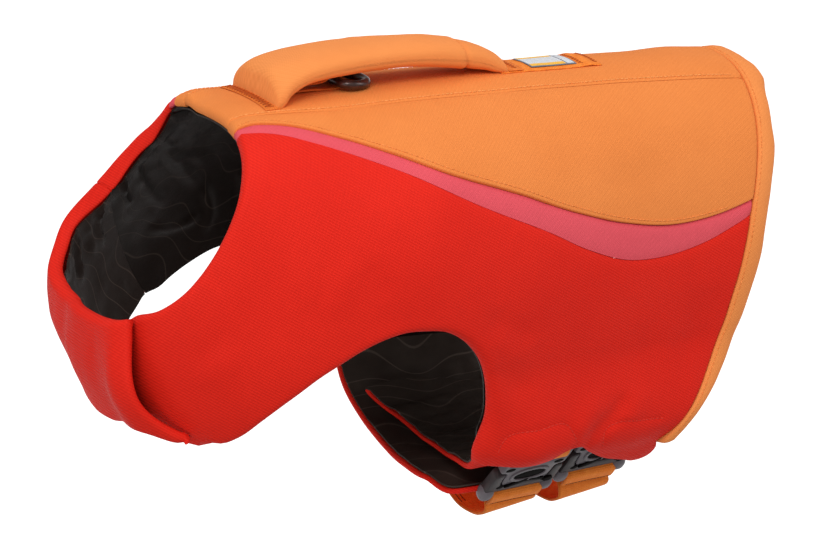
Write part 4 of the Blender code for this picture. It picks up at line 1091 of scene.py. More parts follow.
flap_folds = [
    crease([(0.004, 1.46), (0.05, 1.44), (0.14, 1.42)], 3.0, -3.2, 0.25), crease([(0.004, 1.36), (0.05, 1.35), (0.13, 1.33)], 3.2, -3.0, 0.25),
    crease([(0.004, 1.25), (0.05, 1.25), (0.12, 1.23)], 3.0, -2.6, 0.25), crease([(0.004, 1.12), (0.05, 1.12), (0.12, 1.13)], 3.0, -2.4, 0.25),
    crease([(0.012, 0.86), (0.06, 0.88), (0.10, 0.87)], 3.2, -1.8, 0.3), crease([(0.012, 0.97), (0.06, 0.96), (0.12, 0.99)], 3.4, -1.6, 0.3),
    crease([(0.012, 1.08), (0.05, 1.10), (0.11, 1.09)], 3.0, -1.9, 0.3), crease([(0.012, 1.19), (0.06, 1.18), (0.12, 1.21)], 3.4, -1.7, 0.3),
    crease([(0.012, 1.30), (0.05, 1.31), (0.10, 1.29)], 3.0, -1.6, 0.3), crease([(0.02, 1.40), (0.07, 1.41), (0.13, 1.39)], 3.4, -1.5, 0.3),
    crease([(0.05, 1.02), (0.055, 1.14), (0.06, 1.24)], 4.0, -1.2, 0.3)]

LEFT_LINING = [(e, k) if e is not ARCH else ([(u + 0.010 * float(smooth(r, 0.69, 0.735)) * (u > 0.5), r) for u, r in ARCH], k) for e, k in LEFT_EDGES]
lining_piece("lining_over_back", LINING_BACK_EDGES, total(flat(-0.1), wrinkle(1.6, 34.0, 101, 0.6)), ["lining_back"], ["spine_panel", "back_panel_left", "back_panel_right"], inset=2.4)
lining_piece("lining_side_left", LEFT_LINING, total(flat(-0.1), hem_flare, wrinkle(1.6, 30.0, 111, 0.8), *neck_folds[:3]), ["lining_left"], ["side_panel_left"])
lining_piece("lining_side_right", RIGHT_EDGES, total(flat(-0.1), far_rim, seam_fade(total(wrinkle(2.0, 27.0, 121, 1.0, 0.3), *neck_folds), CHEST_SEAM)), ["lining_right"], ["side_panel_right"], side=-1, lattice=3.1)
# The chest flap's lining takes the lighter lining copy: painted light.
lining_piece("lining_chest_flap", FLAP_EDGES, total(flat(-0.1), far_rim, arm_lift, flap_extra, seam_fade(total(wrinkle(1.8, 22.0, 131, 0.9), *flap_folds), [(u, 2 - r) for u, r in CHEST_SEAM])), ["lining_chest"], ["chest_panel"], lattice=3.0, neck=4.6, mat=LINING_CHEST_PAINTED_LIGHT)
belly_folds = [crease([(0.66 + 0.0 * k, r0), (0.69, r0 + 0.012), (0.74, r0 + 0.004 * k)], 2.6, -1.3, 0.3) for k, r0 in enumerate((0.735, 0.765, 0.800, 0.84, 0.88, 0.93))]
front_folds = [crease([(0.624 + 0.014 * math.sin(r0 * 9), r0), (0.66, r0 + 0.02), (0.72, r0 + 0.035)], 2.8, -1.2, 0.3) for r0 in (0.72, 0.745, 0.775, 0.80, 0.83, 0.87, 0.92, 0.98, 1.05, 1.11)]
# The belly flaps' linings take the lighter lining copy: painted light in their shade.
lining_piece("lining_belly_flap_left", INNER_EDGES, total(inner_flap, flat(-2.7), wrinkle(2.4, 13.0, 141), *front_folds), ["lining_belly_left"], ["belly_panel_left"], lattice=3.2, thin=1.1, mat=LINING_BELLY_PAINTED_LIGHT)
lining_piece("lining_belly_flap_right", OUTER_EDGES, total(outer_flap, outer_sag, flat(-2.7), wrinkle(2.4, 15.0, 151)), ["lining_belly_right"], ["belly_panel_right"], lattice=3.6, thin=1.4, mat=LINING_BELLY_PAINTED_LIGHT)


# ---------------------------------------------------------------- rear trim
TRIM_PROFILE = [(0.2, 8.7), (0.7, 9.7), (2.2, 10.4), (4.8, 10.6), (7.4, 10.1), (9.4, 8.9), (10.7, 7.0), (11.1, 5.0), (10.6, 3.0), (9.2, 1.3),
                (6.8, 0.4), (3.4, 0.1), (0.2, 0.2)]


def trim_at(rr, d, h):
    u0 = np.array([rear(t) for t in rr]) + 0.001
    per_u = np.linalg.norm(base(u0, rr) - base(u0 - 0.02, rr), axis=1) / 0.02
    lift = np.where(rr > 0, hem_flare(u0, rr), 0)
    a = np.abs(rr)
    d = d * (1.24 + 0.20 * (1 - smooth(a, 0.12, 0.34)) + 0.15 * bump(a, 0.16, 0.28, 0.50, 0.62) - 0.22 * bump(a, 0.66, 0.70, 0.74, 0.766)
             + 0.12 * bump(a, 0.36, 0.44, 0.62, 0.68) + 0.24 * bump(rr, 0.03, 0.06, 0.082, 0.112) - 0.15 * bump(rr, 0.10, 0.13, 0.18, 0.23))
    return surf(u0 + d / per_u, rr, lift + h)


def build_trim():
    n = int(330 / FINE)
    rr = np.linspace(-0.758, 0.758, n + 1)
    s = rr * R_MM * 1.02
    end = np.sqrt(np.clip(1 - (1 - np.clip((0.758 - np.abs(rr)) * R_MM / 4.0, 0, 1)) ** 2, 0.02, 1))
    wav = 1 + 0.02 * noise(s, 0 * s, 17.0, 7)
    rings = []
    for d, h in TRIM_PROFILE:
        hh = 5.0 + (h - 5.0) * end + 0.18 * noise(s, 0 * s + d * 2, 11.0, 8) * (h > 5) + 0.25 * noise(s, 0 * s, 30.0, 9)
        rings.append(trim_at(rr, d * wav, hh))
    rings = np.stack(rings, 1)
    prof = np.array(TRIM_PROFILE)
    pl = np.concatenate([[0], np.cumsum(np.hypot(*np.diff(prof, axis=0).T))])
    uv = np.stack([np.broadcast_to(s[:, None], rings.shape[:2]), np.broadcast_to(pl[None], rings.shape[:2])], -1).reshape(-1, 2)
    v, f = sweep(rings)
    ob = to_object("rear_binding", v, f, ORANGE_PALE, uv, 60)
    place(ob, "jacket", "orange_cloth", ["rear_trim"], "padded", 0.8)
    TREES["rear_binding"] = tree_of(ob)


build_trim()


# ---------------------------------------------------------------- handle
# x, top and bottom z at the middle, half width, how far the long edges droop
HANDLE = [
    (-151.8, 15.6, 10.0, 27.0, 4.8), (-151.4, 19.6, 9.6, 28.2, 4.8), (-150.6, 24.6, 9.4, 29.0, 4.8), (-149.6, 29.4, 9.4, 29.6, 4.8),
    (-147.4, 32.2, 10.0, 29.9, 4.6), (-144.4, 33.6, 12.8, 29.8, 4.2), (-141.0, 34.6, 16.6, 29.2, 3.4), (-136.5, 35.6, 18.8, 28.2, 2.8), (-128.0, 36.7, 21.3, 26.6, 1.9), (-115.0, 38.0, 22.4, 24.8, 1.5),
    (-98.0, 38.8, 22.7, 23.4, 1.3), (-80.0, 38.7, 22.7, 22.2, 1.2), (-57.0, 37.6, 21.8, 20.8, 1.2), (-35.0, 35.0, 19.4, 19.4, 1.1),
    (-17.0, 31.7, 16.2, 17.8, 1.1), (-5.0, 29.0, 13.4, 16.6, 1.4), (4.0, 25.8, 11.7, 15.9, 1.9), (11.0, 22.0, 9.8, 15.3, 2.4),
    (16.0, 18.6, 9.2, 14.9, 2.7), (18.6, 15.9, 9.2, 14.6, 2.7), (19.8, 12.9, 9.6, 14.0, 2.6)]
HANDLE_SEAM_X = -11.0


def build_handle():
    t = np.asarray(HANDLE, float)
    s = np.concatenate([[0], np.cumsum(np.hypot(np.diff(t[:, 0]), np.diff(t[:, 1])))])
    rows = curve(np.column_stack([s, t]), np.linspace(0, s[-1], int(150 / FINE)))
    m = 56
    a = np.linspace(0, 2 * np.pi, m, endpoint=False)
    rings, uvs = [], []
    for k, (x, zt, zb, w, droop) in enumerate(rows):
        w, h, zc = max(w, 1), max((zt - zb) / 2, 0.5), (zt + zb) / 2
        cy, sy = np.cos(a), np.sin(a)
        yy = -w * np.sign(cy) * np.abs(cy) ** 0.66
        hh = h * np.sign(sy) * np.abs(sy) ** 0.72
        top = (sy > 0).astype(float)
        pinch = 1.2 * math.exp(-((x - HANDLE_SEAM_X) / 1.3) ** 2) - 0.9 * float(bump(x, -60.0, -16.0, -13.5, -12.0))
        soft = 0.35 * noise(x + 0 * yy, yy, 17.0, 201) + 0.2 * noise(x + 0 * yy, yy, 7.0, 202)
        front = math.exp(-((x + 150) / 9.0) ** 2) * 0.7 * noise(x * 0.5 + 0 * yy, yy, 8.0, 203)
        z = zc + hh * (1 - pinch / h) - droop * np.abs(yy / w) ** 2.2 + (soft + front) * top
        rings.append(np.column_stack([np.full(m, x), yy * (1 - pinch / w), z]))
        uvs.append(np.column_stack([np.full(m, x), a / (2 * np.pi) * 90.0]))
    v, f = sweep(np.array(rings))
    ob = to_object("handle_pad", v, f, ORANGE_PALE, np.concatenate(uvs), 60)
    place(ob, "jacket", "orange_cloth", ["handle"], "padded", 0.85)
    TREES["handle_pad"] = tree_of(ob)


build_handle()


def webbing_piece(ob, nodes, slot="orange_webbing"):
    place(ob, "jacket", slot, nodes, None)
    TREES[ob.name] = tree_of(ob)
    return ob


webbing_piece(strip_on_back("front_tape", -157.6, -147.0, 57.0, 9.9, 11.5, NARROW), ["handle_tab_front"])
webbing_piece(strip_on_back("rear_tape", 19.0, 29.5, 27.0, 11.4, 12.5, NARROW), ["handle_tab_rear"])


def loop_lift(s, a):
    return 0.7 * np.exp(-((s - 64.0) / 4.0) ** 2) + 0.15 * noise(s, a, 7.0, 301)


webbing_piece(strip_on_back("back_strip", 14.0, 86.5, 27.0, 10.0, 11.3, WEBBING, lift=loop_lift), ["rear_strip"])
webbing_piece(strip_on_back("plain_label", 37.0, 70.0, 21.0, 11.4, 12.1, LABEL, lift=lambda s, a: 0.12 * noise(s, a, 8.0, 311)), ["label"],
              slot="label_cloth")


# ---------------------------------------------------------------- leash ring
RING_BAR_X, RING_Z = -99.0, 17.5
RING_LEN, RING_W, RING_D = 22.0, 35.0, 5.6
RING_TILT = math.radians(6.5)


def build_ring():
    corner, half = 6.0, RING_W / 2
    path = [(0.0, y) for y in np.linspace(-half + corner, half - corner, 12)]
    path += [(corner * (1 - math.cos(b)), half - corner + corner * math.sin(b)) for b in np.linspace(0, math.pi / 2, 9)[1:-1]]
    path += [(RING_LEN - half * 0.82 + half * 0.82 * math.cos(b), half * math.sin(b)) for b in np.linspace(math.pi / 2, -math.pi / 2, 34)]
    path += [(corner * (1 - math.cos(b)), -half + corner - corner * math.sin(b)) for b in np.linspace(math.pi / 2, 0, 9)[1:-1]]
    p = np.array(path)
    a = np.linspace(0, 2 * np.pi, 20, endpoint=False)
    rings = []
    for i in range(len(p)):
        t = p[(i + 1) % len(p)] - p[i - 1]
        t /= np.hypot(*t)
        n = np.array([-t[1], t[0]])
        g = np.column_stack([RING_BAR_X + p[i, 0] + n[0] * np.cos(a) * RING_D / 2, p[i, 1] + n[1] * np.cos(a) * RING_D / 2, RING_Z + np.sin(a) * RING_D / 2])
        g[:, 2] -= (g[:, 0] - RING_BAR_X) * math.tan(RING_TILT)
        rings.append(g)
    v, f = sweep(np.array(rings), closed=True)
    ob = to_object("coated_ring", v, f, METAL, None, 180)
    place(ob, "ring", "dark_metal", ["leash_ring"], None)


build_ring()


def ribbon_y(name, path, width, thick, mat, step=1.0, ripple=0.0, seed=5):
    """Webbing whose length follows a path in the (x, z) plane, and whose width lies along y."""
    q, s = smooth_path(path, step)
    t = np.gradient(q, axis=0)
    t /= np.hypot(*t.T)[:, None]
    nrm = np.column_stack([-t[:, 1], t[:, 0]])
    a, full = across(width, 8)
    rip = ripple * noise(s[:, None] + 0 * a, a + 0 * s[:, None], 6.0, seed)

    def grid(k):
        h = k * thick / 2 * full[None, :] + rip
        return np.stack([q[:, 0, None] + nrm[:, 0, None] * h, np.broadcast_to(a, h.shape), q[:, 1, None] + nrm[:, 1, None] * h], -1)
    uv = np.stack([np.broadcast_to(s[:, None], rip.shape), np.broadcast_to(a, rip.shape)], -1)
    return slab_grid(name, grid(1), grid(-1), mat, uv), s[-1]


TAB_T = 1.4
rad = RING_D / 2 + 0.35 + TAB_T / 2
cx, cz = RING_BAR_X, RING_Z
tab_path = [(-146.0, 15.2), (-132.0, 15.0), (-118.0, 14.8), (cx - 8.0, cz - rad + 0.2), (cx - 3.0, cz - rad)]
tab_path += [(cx + rad * math.cos(a), cz + rad * math.sin(a)) for a in np.linspace(-math.pi / 2, math.pi / 2, 11)]
tab_path += [(cx - 4.0, cz + rad - 0.2), (cx - 9.0, cz + 1.6), (cx - 15.0, cz + 0.9), (cx - 22.0, cz + 1.0), (cx - 30.0, cz + 0.3)]
tab, tab_len = ribbon_y("ring_loop_tape", tab_path, 19.0, TAB_T, NARROW, ripple=0.22)
webbing_piece(tab, ["ring_tab"])


# ---------------------------------------------------------------- buckles and straps
STRAP_W, WEB_T = 38.0, 1.8
BUCKLE_T, BUCKLE_W = 7.6, 50.0
STRAPS = {"front": 4.6, "rear": 59.6}
BUCKLES = {"front": ((-45.8, -253.6), (-0.68, 0.733)), "rear": ((-46.2, -251.2), (-0.64, 0.768))}


def buckle_axes(which):
    low, d = (np.array(v) for v in BUCKLES[which])
    d = d / np.hypot(*d)
    return low, d, np.array([d[1], -d[0]]) * (-1 if d[1] > 0 else 1)


def rounded(points, radius, n=6):
    p = [np.array(q, float) for q in points]
    out = []
    for i, c in enumerate(p):
        a, b = p[i - 1] - c, p[(i + 1) % len(p)] - c
        ra = min(radius, 0.45 * np.hypot(*a), 0.45 * np.hypot(*b))
        a, b = c + a / np.hypot(*a) * ra, c + b / np.hypot(*b) * ra
        for k in range(n + 1):
            t = k / n
            out.append(tuple((1 - t) ** 2 * a + 2 * t * (1 - t) * c + t * t * b))
    return out


def bevelled_plate(bm, loops, h0, h1, bevel, to_world):
    """Plate with holes between heights h0 and h1, with rounded edges all round, added to bm."""
    pts, edges = [], []
    for lp in loops:
        b = len(pts)
        pts += lp
        edges += [(b + i, b + (i + 1) % len(lp)) for i in range(len(lp))]
    insets = []
    for j, lp in enumerate(loops):
        q = np.array(lp, float)
        k = inward(q) * (1 if j == 0 else -1)
        insets.append((q, k))
    steps = [(0.0, 1.0), (0.29, 0.29), (1.0, 0.0)]     # inset and drop, in bevels
    rings = {}
    layers = [(h1, 1, s) for s in steps[::-1]] + [(h0, -1, s) for s in steps]
    faces = []
    for j, (q, k) in enumerate(insets):
        rows = []
        for h, sign, (ins, drop) in layers:
            row = [bm.verts.new(to_world(*(p + n * bevel * ins), h - sign * bevel * drop)) for p, n in zip(q, k)]
            rows.append(row)
        for a, b in zip(rows, rows[1:]):
            m = len(a)
            for i in range(m):
                i2 = (i + 1) % m
                bm.faces.new((a[i], a[i2], b[i2], b[i]))
        rings[j] = rows
    # caps
    for which in (0, -1):
        flat2, owners, ed = [], [], []
        for j, (q, k) in enumerate(insets):
            b = len(flat2)
            m = len(q)
            flat2 += [Vector(p + n * bevel) for p, n in zip(q, k)]
            owners += rings[j][which]
            ed += [(b + i, b + (i + 1) % m) for i in range(m)]
        v2, _e, tris, orig, _x, _y = delaunay_2d_cdt(flat2, ed, [], 2, 1e-7)
        vv = np.array([tuple(v) for v in v2])
        outer = np.array([tuple(v) for v in flat2[:len(insets[0][0])]])
        holes, at = [], len(insets[0][0])
        for q, _k in insets[1:]:
            holes.append(np.array([tuple(v) for v in flat2[at:at + len(q)]]))
            at += len(q)
        for t in tris:
            c = vv[list(t)].mean(axis=0)[None]
            if not inside(outer, c)[0] or any(inside(h, c)[0] for h in holes):
                continue
            vs = [owners[orig[i][0]] for i in t if orig[i]]
            if len(set(vs)) == 3:
                try:
                    bm.faces.new(vs)
                except ValueError:
                    pass


def finish_bm(bm, name, mat, angle=40):
    bmesh.ops.recalc_face_normals(bm, faces=bm.faces)
    me = bpy.data.meshes.new(name)
    bm.to_mesh(me)
    bm.free()
    me.shade_smooth()
    me.set_sharp_from_angle(angle=math.radians(angle))
    me.materials.append(mat)
    ob = bpy.data.objects.new(name, me)
    bpy.context.scene.collection.objects.link(ob)
    return ob


def pebble(bm, centre, size, to_world, power=2.6, n=14, m=20):
    """Rounded block: superellipsoid of half sizes (w, l, h)."""
    rows = []
    for i in range(1, n):
        b = math.pi * (i / n - 0.5)
        row = []
        for j in range(m):
            a = 2 * math.pi * j / m
            c = lambda v: math.copysign(abs(v) ** (2 / power), v)
            p = (c(math.cos(b)) * c(math.cos(a)), c(math.cos(b)) * c(math.sin(a)), c(math.sin(b)))
            row.append(bm.verts.new(to_world(*(centre[k] + size[k] * p[k] for k in range(3)))))
        rows.append(row)
    lo = bm.verts.new(to_world(centre[0], centre[1], centre[2] - size[2]))
    hi = bm.verts.new(to_world(centre[0], centre[1], centre[2] + size[2]))
    for a, b in zip(rows, rows[1:]):
        for j in range(m):
            j2 = (j + 1) % m
            bm.faces.new((a[j], a[j2], b[j2], b[j]))
    for j in range(m):
        j2 = (j + 1) % m
        bm.faces.new((lo, rows[0][j2], rows[0][j]))
        bm.faces.new((hi, rows[-1][j], rows[-1][j2]))


def lens(w, l, n=28, power=2.0):
    return [(w * math.copysign(abs(math.cos(a)) ** (2 / power), math.cos(a)), l * math.copysign(abs(math.sin(a)) ** (2 / power), math.sin(a)))
            for a in np.linspace(0, 2 * math.pi, n, endpoint=False)]


def turned(points, degrees, a0, l0):
    c, s = math.cos(math.radians(degrees)), math.sin(math.radians(degrees))
    return [(a0 + a * c - l * s, l0 + a * s + l * c) for a, l in points]


def build_buckle(which, x_mid):
    low, d, nrm = buckle_axes(which)
    w = BUCKLE_W / 2
    T = BUCKLE_T / 2

    def world(a, l, h):
        c = low + d * l + nrm * h
        return Vector(((x_mid + a) * SCALE, c[0] * SCALE, c[1] * SCALE))
    slot = rounded([(-20, 2.8), (20, 2.8), (20, 7.8), (-20, 7.8)], 1.8)
    bm = bmesh.new()
    # rounded bar end of the male half, with its two spring arms
    male = rounded([(-w, 0), (w, 0), (w, 13), (w - 0.6, 29.5), (w - 6.5, 31.5), (w - 7.5, 20), (w - 9, 15.5), (-w + 9, 15.5), (-w + 7.5, 20),
                    (-w + 6.5, 31.5), (-w + 0.6, 29.5), (-w, 13)], 2.4)
    bevelled_plate(bm, [male, slot], -T, T, 1.4, world)
    # The plug takes the darker plastic copy: painted shade.
    ob = finish_bm(bm, "buckle_%s_plug" % which, PLASTIC_PAINTED_SHADE)
    place(ob, "jacket", "grey_plastic", ["buckle_%s_male" % which], None)
    bm = bmesh.new()
    for k in (-1, 1):
        pebble(bm, (k * (w - 3.4), 4.6, 0.5), (5.0, 6.4, T + 1.5), world, 2.5)
    # The bar ends take the lighter plastic copy: painted light.
    place(finish_bm(bm, "buckle_%s_ends" % which, PLASTIC_PAINTED_LIGHT), "jacket", "grey_plastic", (), None)

    bm = bmesh.new()
    fem = rounded([(-w + 9.4, 16), (w - 9.4, 16), (w - 8, 20), (w - 7.4, 31.5), (w - 1.5, 33), (w - 1.5, 51), (-w + 1.5, 51), (-w + 1.5, 33), (-w + 7.4, 31.5),
                   (-w + 8, 20)], 2.2)
    slot2 = rounded([(-20, 40.8), (20, 40.8), (20, 47), (-20, 47)], 2.2)
    bevelled_plate(bm, [fem, slot2], -T, T, 1.5, world)
    # raised rim round the oval finger recess, on the outer face
    rim = [(a, l + 27.0) for a, l in lens(14.0, 8.2, 36, 2.4)]
    hole = [(a, l + 27.0) for a, l in lens(11.4, 5.4, 36, 2.2)]
    bevelled_plate(bm, [rim, hole], T - 1.0, T + 0.9, 0.7, world)
    ob = finish_bm(bm, "buckle_%s_socket" % which, PLASTIC)
    place(ob, "jacket", "grey_plastic", ["buckle_%s_female" % which], None)

    # painted shade: near-black slabs laid on the socket over the finger oval, the gaps round the arms and the throat,
    # where shade falls
    bm = bmesh.new()
    bevelled_plate(bm, [[(a, l + 27.0) for a, l in lens(11.6, 5.6, 36, 2.2)]], T - 0.6, T + 0.12, 0.3, world)
    bevelled_plate(bm, [turned(lens(8.4, 1.9, 28, 2.0), 24.0, -6.0, 17.6)], T - 0.6, T + 1.05, 0.3, world)
    bevelled_plate(bm, [turned(lens(6.4, 1.6, 24, 2.0), -14.0, 8.4, 18.6)], T - 0.6, T + 1.05, 0.3, world)
    bevelled_plate(bm, [turned(lens(3.4, 3.0, 24, 2.0), 0.0, 18.4, 14.6)], T - 0.6, T + 1.05, 0.3, world)
    for k in (-1, 1):
        bevelled_plate(bm, [[(a + k * 17.6, l + 37.0) for a, l in lens(3.6, 2.4, 20, 2.0)]], T - 0.6, T + 0.15, 0.3, world)
        bevelled_plate(bm, [[(a + k * 16.4, l + 14.0) for a, l in lens(2.6, 2.0, 20, 2.0)]], T - 0.6, T + 0.15, 0.3, world)
    ob = finish_bm(bm, "buckle_%s_recesses" % which, RECESS_PAINTED_SHADE)
    place(ob, "jacket", "grey_plastic", (), None)


def on_form(x, r, d):
    u = np.linspace(0, 1, 401)
    v = np.interp(x, surf(u, r, d)[:, 0], u)
    return tuple(surf(v, r, d)[1:])


def under_belly(x, y):
    """Height of the belly flap's outer face over a point, where a strap is sewn on."""
    z = []
    for dx in (-14.0, 0.0, 14.0):
        hit = TREES["belly_panel_right"].ray_cast(Vector(((x + dx) * SCALE, y * SCALE, -0.32)), Vector((0.0, 0.0, 1.0)), 0.15)
        if hit[0] is not None:
            z.append(hit[0][2] / SCALE)
    return min(z)


STRAP_PATHS = {}


def build_strap(which, x):
    low, d, nrm = buckle_axes(which)

    def at(l, h):
        return tuple(low + d * l + nrm * h)
    rad = BUCKLE_T / 2 + 0.5 + WEB_T / 2

    def fold(slot_l, bar, sign):
        return [at(bar, -rad), at(bar + sign * 2.4, -rad + 0.1), at(slot_l - sign * 0.7, -rad * 0.74), at(slot_l, -rad * 0.4), at(slot_l, 0),
                at(slot_l, rad * 0.4), at(slot_l - sign * 0.7, rad * 0.74), at(bar + sign * 2.4, rad - 0.1), at(bar, rad)]
    sag = 0.0 if which == "front" else 1.4
    path = [(y, under_belly(x, y) - 1.2) for y in (58.0, 50.0, 42.0)]
    path += [(31.0, path[-1][1] - 3.0), (18.0, -258.8 - 0.4 * sag), (4.0, -266.6 - 0.8 * sag), (-10.0, -272.0 - sag), (-24.0, -272.6 - sag), (-36.6, -270.4 - sag),
            (-44.3, -265.6 - 0.8 * sag), (-44.0, -259.8 - 0.5 * sag), at(-4.4, -4.7), at(-2.2, -rad + 0.1)]
    path += fold(5.2, 1.0, 1) + [at(-2.4, rad - 0.1), at(-4.6, 4.7)]
    ob, q, n = ribbon("belly_strap_%s" % which, path, x, STRAP_W, WEB_T, WEBBING, ripple=0.12, seed=60, tilt=lambda p: 0.10 * smooth(-p[:, 1], 259.0, 267.0))
    length = float(np.sum(np.linalg.norm(np.diff(q, axis=0), axis=1)))
    webbing_piece(ob, ["strap_%s" % which])
    STRAP_PATHS[which] = (q, n, x)
    path = [on_form(x, 0.694, 3.2), on_form(x, 0.716, 3.8), at(53.5, -rad + 0.6)] + fold(43.9, 49.2, -1) + [at(53.5, rad - 0.9), at(57.5, rad - 3.2)]
    ob, q, n = ribbon("anchor_strap_%s" % which, path, x, STRAP_W, WEB_T, WEBBING, ripple=0.1, seed=61)
    length = float(np.sum(np.linalg.norm(np.diff(q, axis=0), axis=1)))
    webbing_piece(ob, ["anchor_%s" % which])


for _name, _x in STRAPS.items():
    build_buckle(_name, _x)
    build_strap(_name, _x)


# ---------------------------------------------------------------- stitches on the pieces
def on_piece(tree, points, outward, reach=30.0):
    """Points and normals of a piece seen from outside each point."""
    pts, nrm = [], []
    for p, n in zip(np.asarray(points, float), np.asarray(outward, float)):
        hit = tree.ray_cast(Vector((p + n * reach) * SCALE), Vector(-n), 2 * reach * SCALE)
        if hit[0] is None:
            continue
        pts.append(np.array(hit[0]) / SCALE)
        k = np.array(hit[1])
        nrm.append(k if k @ n > 0 else -k)
    return np.array(pts), np.array(nrm)


seams = Thread("seam_stitches", THREAD_MID, "orange_cloth")
pale = Thread("spine_stitches", THREAD_ORANGE, "orange_cloth")
for side in (1, -1):
    u, r = row_line(SPINE_SEAM, -2.5, 0.006, 0.975)
    pale.row(*on_skin(TREES["spine_panel"], u, r * side), pitch=3.3, share=0.66, radius=0.5)
    u, r = row_line(STRIPE_TOP, -2.8, 0.010, 0.935, 300)
    seams.row(*on_skin(TREES["back_panel_left" if side > 0 else "back_panel_right"], u, r * side), pitch=3.4, share=0.62, radius=0.44)
for r0, r1 in ((-0.735, 0.735),):
    r = np.linspace(r0, r1, 420)
    u = np.array([rear(t) for t in r])
    per_u = np.linalg.norm(base(u, r) - base(u - 0.02, r), axis=1) / 0.02
    seams.row(*on_skin(TREES["rear_binding"], u + 3.0 / per_u, r), pitch=3.4, share=0.62, radius=0.34)
p = np.column_stack([np.full(60, HANDLE_SEAM_X - 2.6), np.linspace(-17, 17, 60), np.full(60, 30.0)])
seams.row(*on_piece(TREES["handle_pad"], p, np.tile([0.0, 0.0, 1.0], (60, 1))), pitch=2.6, share=0.62, radius=0.3)
seams.done()
pale.done()

tacks = Thread("bar_tacks", THREAD_DEEP, "orange_webbing")


def tack(tree, x, y0, y1, half, pitch=1.5, radius=0.34):
    y = np.linspace(y0, y1, 60)
    p = np.column_stack([np.full(60, x), y, np.full(60, 30.0)])
    q, n = on_piece(tree, p, np.tile([0.0, 0.0, 1.0], (60, 1)))
    tacks.zigzag(q, n, np.tile([half, 0.0, 0.0], (len(q), 1)), pitch, radius)


tack(TREES["front_tape"], -155.0, -27.5, 27.5, 2.2, 1.5, 0.42)
tack(TREES["rear_tape"], 24.6, -12.0, 12.0, 1.3, 1.3, 0.3)
tack(TREES["back_strip"], 84.0, -12.0, 12.0, 1.4, 1.3, 0.3)
tack(TREES["back_strip"], 74.0, -12.0, 12.0, 1.2, 1.3, 0.3)
tacks.done()

rows = Thread("webbing_stitches", THREAD_ORANGE, "orange_webbing")
for y in (-7.0, 7.0):
    x = np.linspace(-129.0, -103.0, 40)
    p = np.column_stack([x, np.full(40, y), np.full(40, 20.0)])
    rows.row(*on_piece(TREES["ring_loop_tape"], p, np.tile([0.0, 0.0, 1.0], (40, 1))), pitch=2.3, share=0.62, radius=0.27)
for x in (-126.5, -111.0):
    y = np.linspace(-8.0, 8.0, 20)
    p = np.column_stack([np.full(20, x), y, np.full(20, 20.0)])
    rows.row(*on_piece(TREES["ring_loop_tape"], p, np.tile([0.0, 0.0, 1.0], (20, 1))), pitch=2.0, share=0.62, radius=0.27)
for which, (q, n, xm) in STRAP_PATHS.items():
    tree = TREES["belly_strap_%s" % which]
    low, d, nrm = buckle_axes(which)
    l = (q - low) @ d
    turn = int(np.argmax((l > 1.0) & (q[:, 0] < -40.0)))
    first = np.arange(len(q)) < turn - 4
    for off in (2.6, 5.2):
        k = np.linspace(-4.2, 1.0, 14)
        P = np.array([(xm - STRAP_W / 2 + off, *(low + d * t + nrm * 4.0)) for t in k])
        rows.row(*on_piece(tree, P, np.tile([0.0, *nrm], (14, 1)), 12.0), pitch=2.6, share=0.62, radius=0.3)
    for y in (47.0, 55.0):
        x = np.linspace(xm - 16.0, xm + 16.0, 40)
        P = np.column_stack([x, np.full(40, y), np.full(40, -250.0)])
        rows.row(*on_piece(tree, P, np.tile([0.0, 0.0, -1.0], (40, 1))), pitch=3.0, share=0.62, radius=0.3)
rows.done()

dark = Thread("dark_stitches", THREAD_BROWN, "orange_webbing")
for which, (q, n, xm) in STRAP_PATHS.items():
    low, d, nrm = buckle_axes(which)
    under = (q[:, 0] < 34.0) & (q[:, 0] > -43.0) & (q[:, 1] < -255.0) & (np.arange(len(q)) < 0.55 * len(q))
    for off in (3.0, 5.6):
        for face in (1, -1):
            P = np.column_stack([np.full(under.sum(), xm - STRAP_W / 2 + off), q[under]])
            N = np.column_stack([np.zeros(under.sum()), face * n[under]])
            dark.row(*on_piece(TREES["belly_strap_%s" % which], P, N, 4.0), pitch=2.6, share=0.7, radius=0.36)
    x = np.linspace(xm - 17.0, xm + 17.0, 50)
    P = np.array([(t, *(low + d * -3.4 + nrm * 4.0)) for t in x])
    dark.row(*on_piece(TREES["belly_strap_%s" % which], P, np.tile([0.0, *nrm], (50, 1)), 12.0), pitch=2.4, share=0.7, radius=0.34)
dark.done()

reds = Thread("hem_stitches", THREAD_RED, "red_cloth")
for ln in (HEM_STITCH_1, HEM_STITCH_2):
    q = resample(ln, 1.5)
    reds.row(*on_skin(TREES["side_panel_left"], q[:, 0], q[:, 1]), pitch=3.0, share=0.6, radius=0.3)
reds.done()
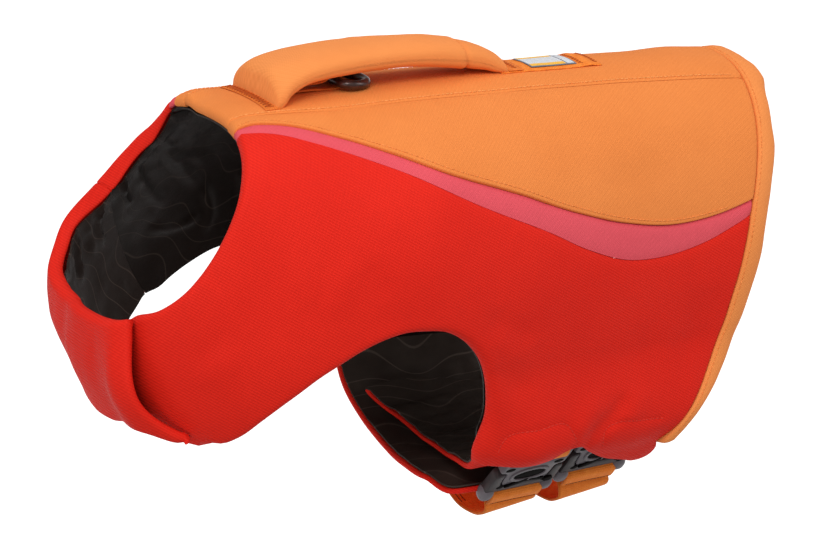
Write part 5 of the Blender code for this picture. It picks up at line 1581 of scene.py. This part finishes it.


# ---------------------------------------------------------------- floor, lights, camera
# The floor glows and so lights the jacket from below. Its emission rises from dim on the camera's side to full white
# behind the jacket, where it is the background.
def glowing_floor_material():
    m = bpy.data.materials.new("glowing_floor")
    m.use_nodes = True
    b = m.node_tree.nodes["Principled BSDF"]
    b.inputs["Base Color"].default_value = (0.33, 0.33, 0.33, 1.0)
    b.inputs["Roughness"].default_value = 1.0
    b.inputs["Specular IOR Level"].default_value = 0.0
    b.inputs["Emission Color"].default_value = (1.0, 1.0, 1.0, 1.0)
    pos = m.node_tree.nodes.new("ShaderNodeTexCoord")
    dot = m.node_tree.nodes.new("ShaderNodeVectorMath")
    dot.operation = "DOT_PRODUCT"
    dot.inputs[1].default_value = (0.5, 0.866, 0.0)
    m.node_tree.links.new(pos.outputs["Object"], dot.inputs[0])
    ramp = m.node_tree.nodes.new("ShaderNodeMapRange")
    ramp.interpolation_type = "SMOOTHSTEP"
    for k, v in ((1, -0.45), (2, 0.78), (3, 0.12), (4, 1.05)):
        ramp.inputs[k].default_value = v
    m.node_tree.links.new(dot.outputs["Value"], ramp.inputs[0])
    m.node_tree.links.new(ramp.outputs[0], b.inputs["Emission Strength"])
    return m


bpy.ops.mesh.primitive_plane_add(size=40.0, location=(0.0, 0.0, -0.62))
floor = bpy.context.object
floor.name = "glowing_floor"
floor.data.materials.append(glowing_floor_material())

world = bpy.data.worlds.new("soft_white")
bpy.context.scene.world = world
world.use_nodes = True
world.node_tree.nodes["Background"].inputs[0].default_value = (1.0, 1.0, 1.0, 1.0)
world.node_tree.nodes["Background"].inputs[1].default_value = 0.40
bpy.context.scene.view_settings.view_transform = "Standard"


def area_light(name, location, target, size, power, colour=(1.0, 1.0, 1.0)):
    data = bpy.data.lights.new(name, "AREA")
    data.shape, data.size, data.size_y, data.energy, data.color = "RECTANGLE", size[0], size[1], power, colour
    ob = bpy.data.objects.new(name, data)
    ob.location = location
    ob.rotation_euler = (Vector(target) - Vector(location)).to_track_quat("-Z", "Y").to_euler()
    bpy.context.scene.collection.objects.link(ob)


area_light("key", (-1.1, -1.3, 1.6), (0.0, 0.0, -0.05), (1.2, 0.9), 26.5)
area_light("top", (0.2, 0.1, 2.0), (0.0, 0.0, 0.0), (1.5, 1.5), 11.5)
area_light("right", (1.7, -1.3, 1.0), (0.0, 0.0, -0.1), (1.2, 1.2), 12.0)
area_light("front", (-1.75, -0.75, 0.35), (-0.2, 0.0, -0.15), (1.0, 0.8), 2.8)
area_light("low", (-1.45, -1.0, -0.30), (0.0, 0.0, -0.25), (0.6, 0.3), 2.2)

AZ, EL, DISTANCE = math.radians(-30.0), math.radians(18.0), 2.375
target = Vector((-0.043, 0.0, -0.116))
away = Vector((math.sin(AZ) * math.cos(EL), -math.cos(AZ) * math.cos(EL), math.sin(EL)))
cam = bpy.data.cameras.new("photo_camera")
cam.lens, cam.sensor_width, cam.clip_end = 166.83, 36.0, 100.0
camera = bpy.data.objects.new("photo_camera", cam)
camera.location = target + away * DISTANCE
camera.rotation_euler = (-away).to_track_quat("-Z", "Y").to_euler()
bpy.context.scene.collection.objects.link(camera)
bpy.context.scene.camera = camera
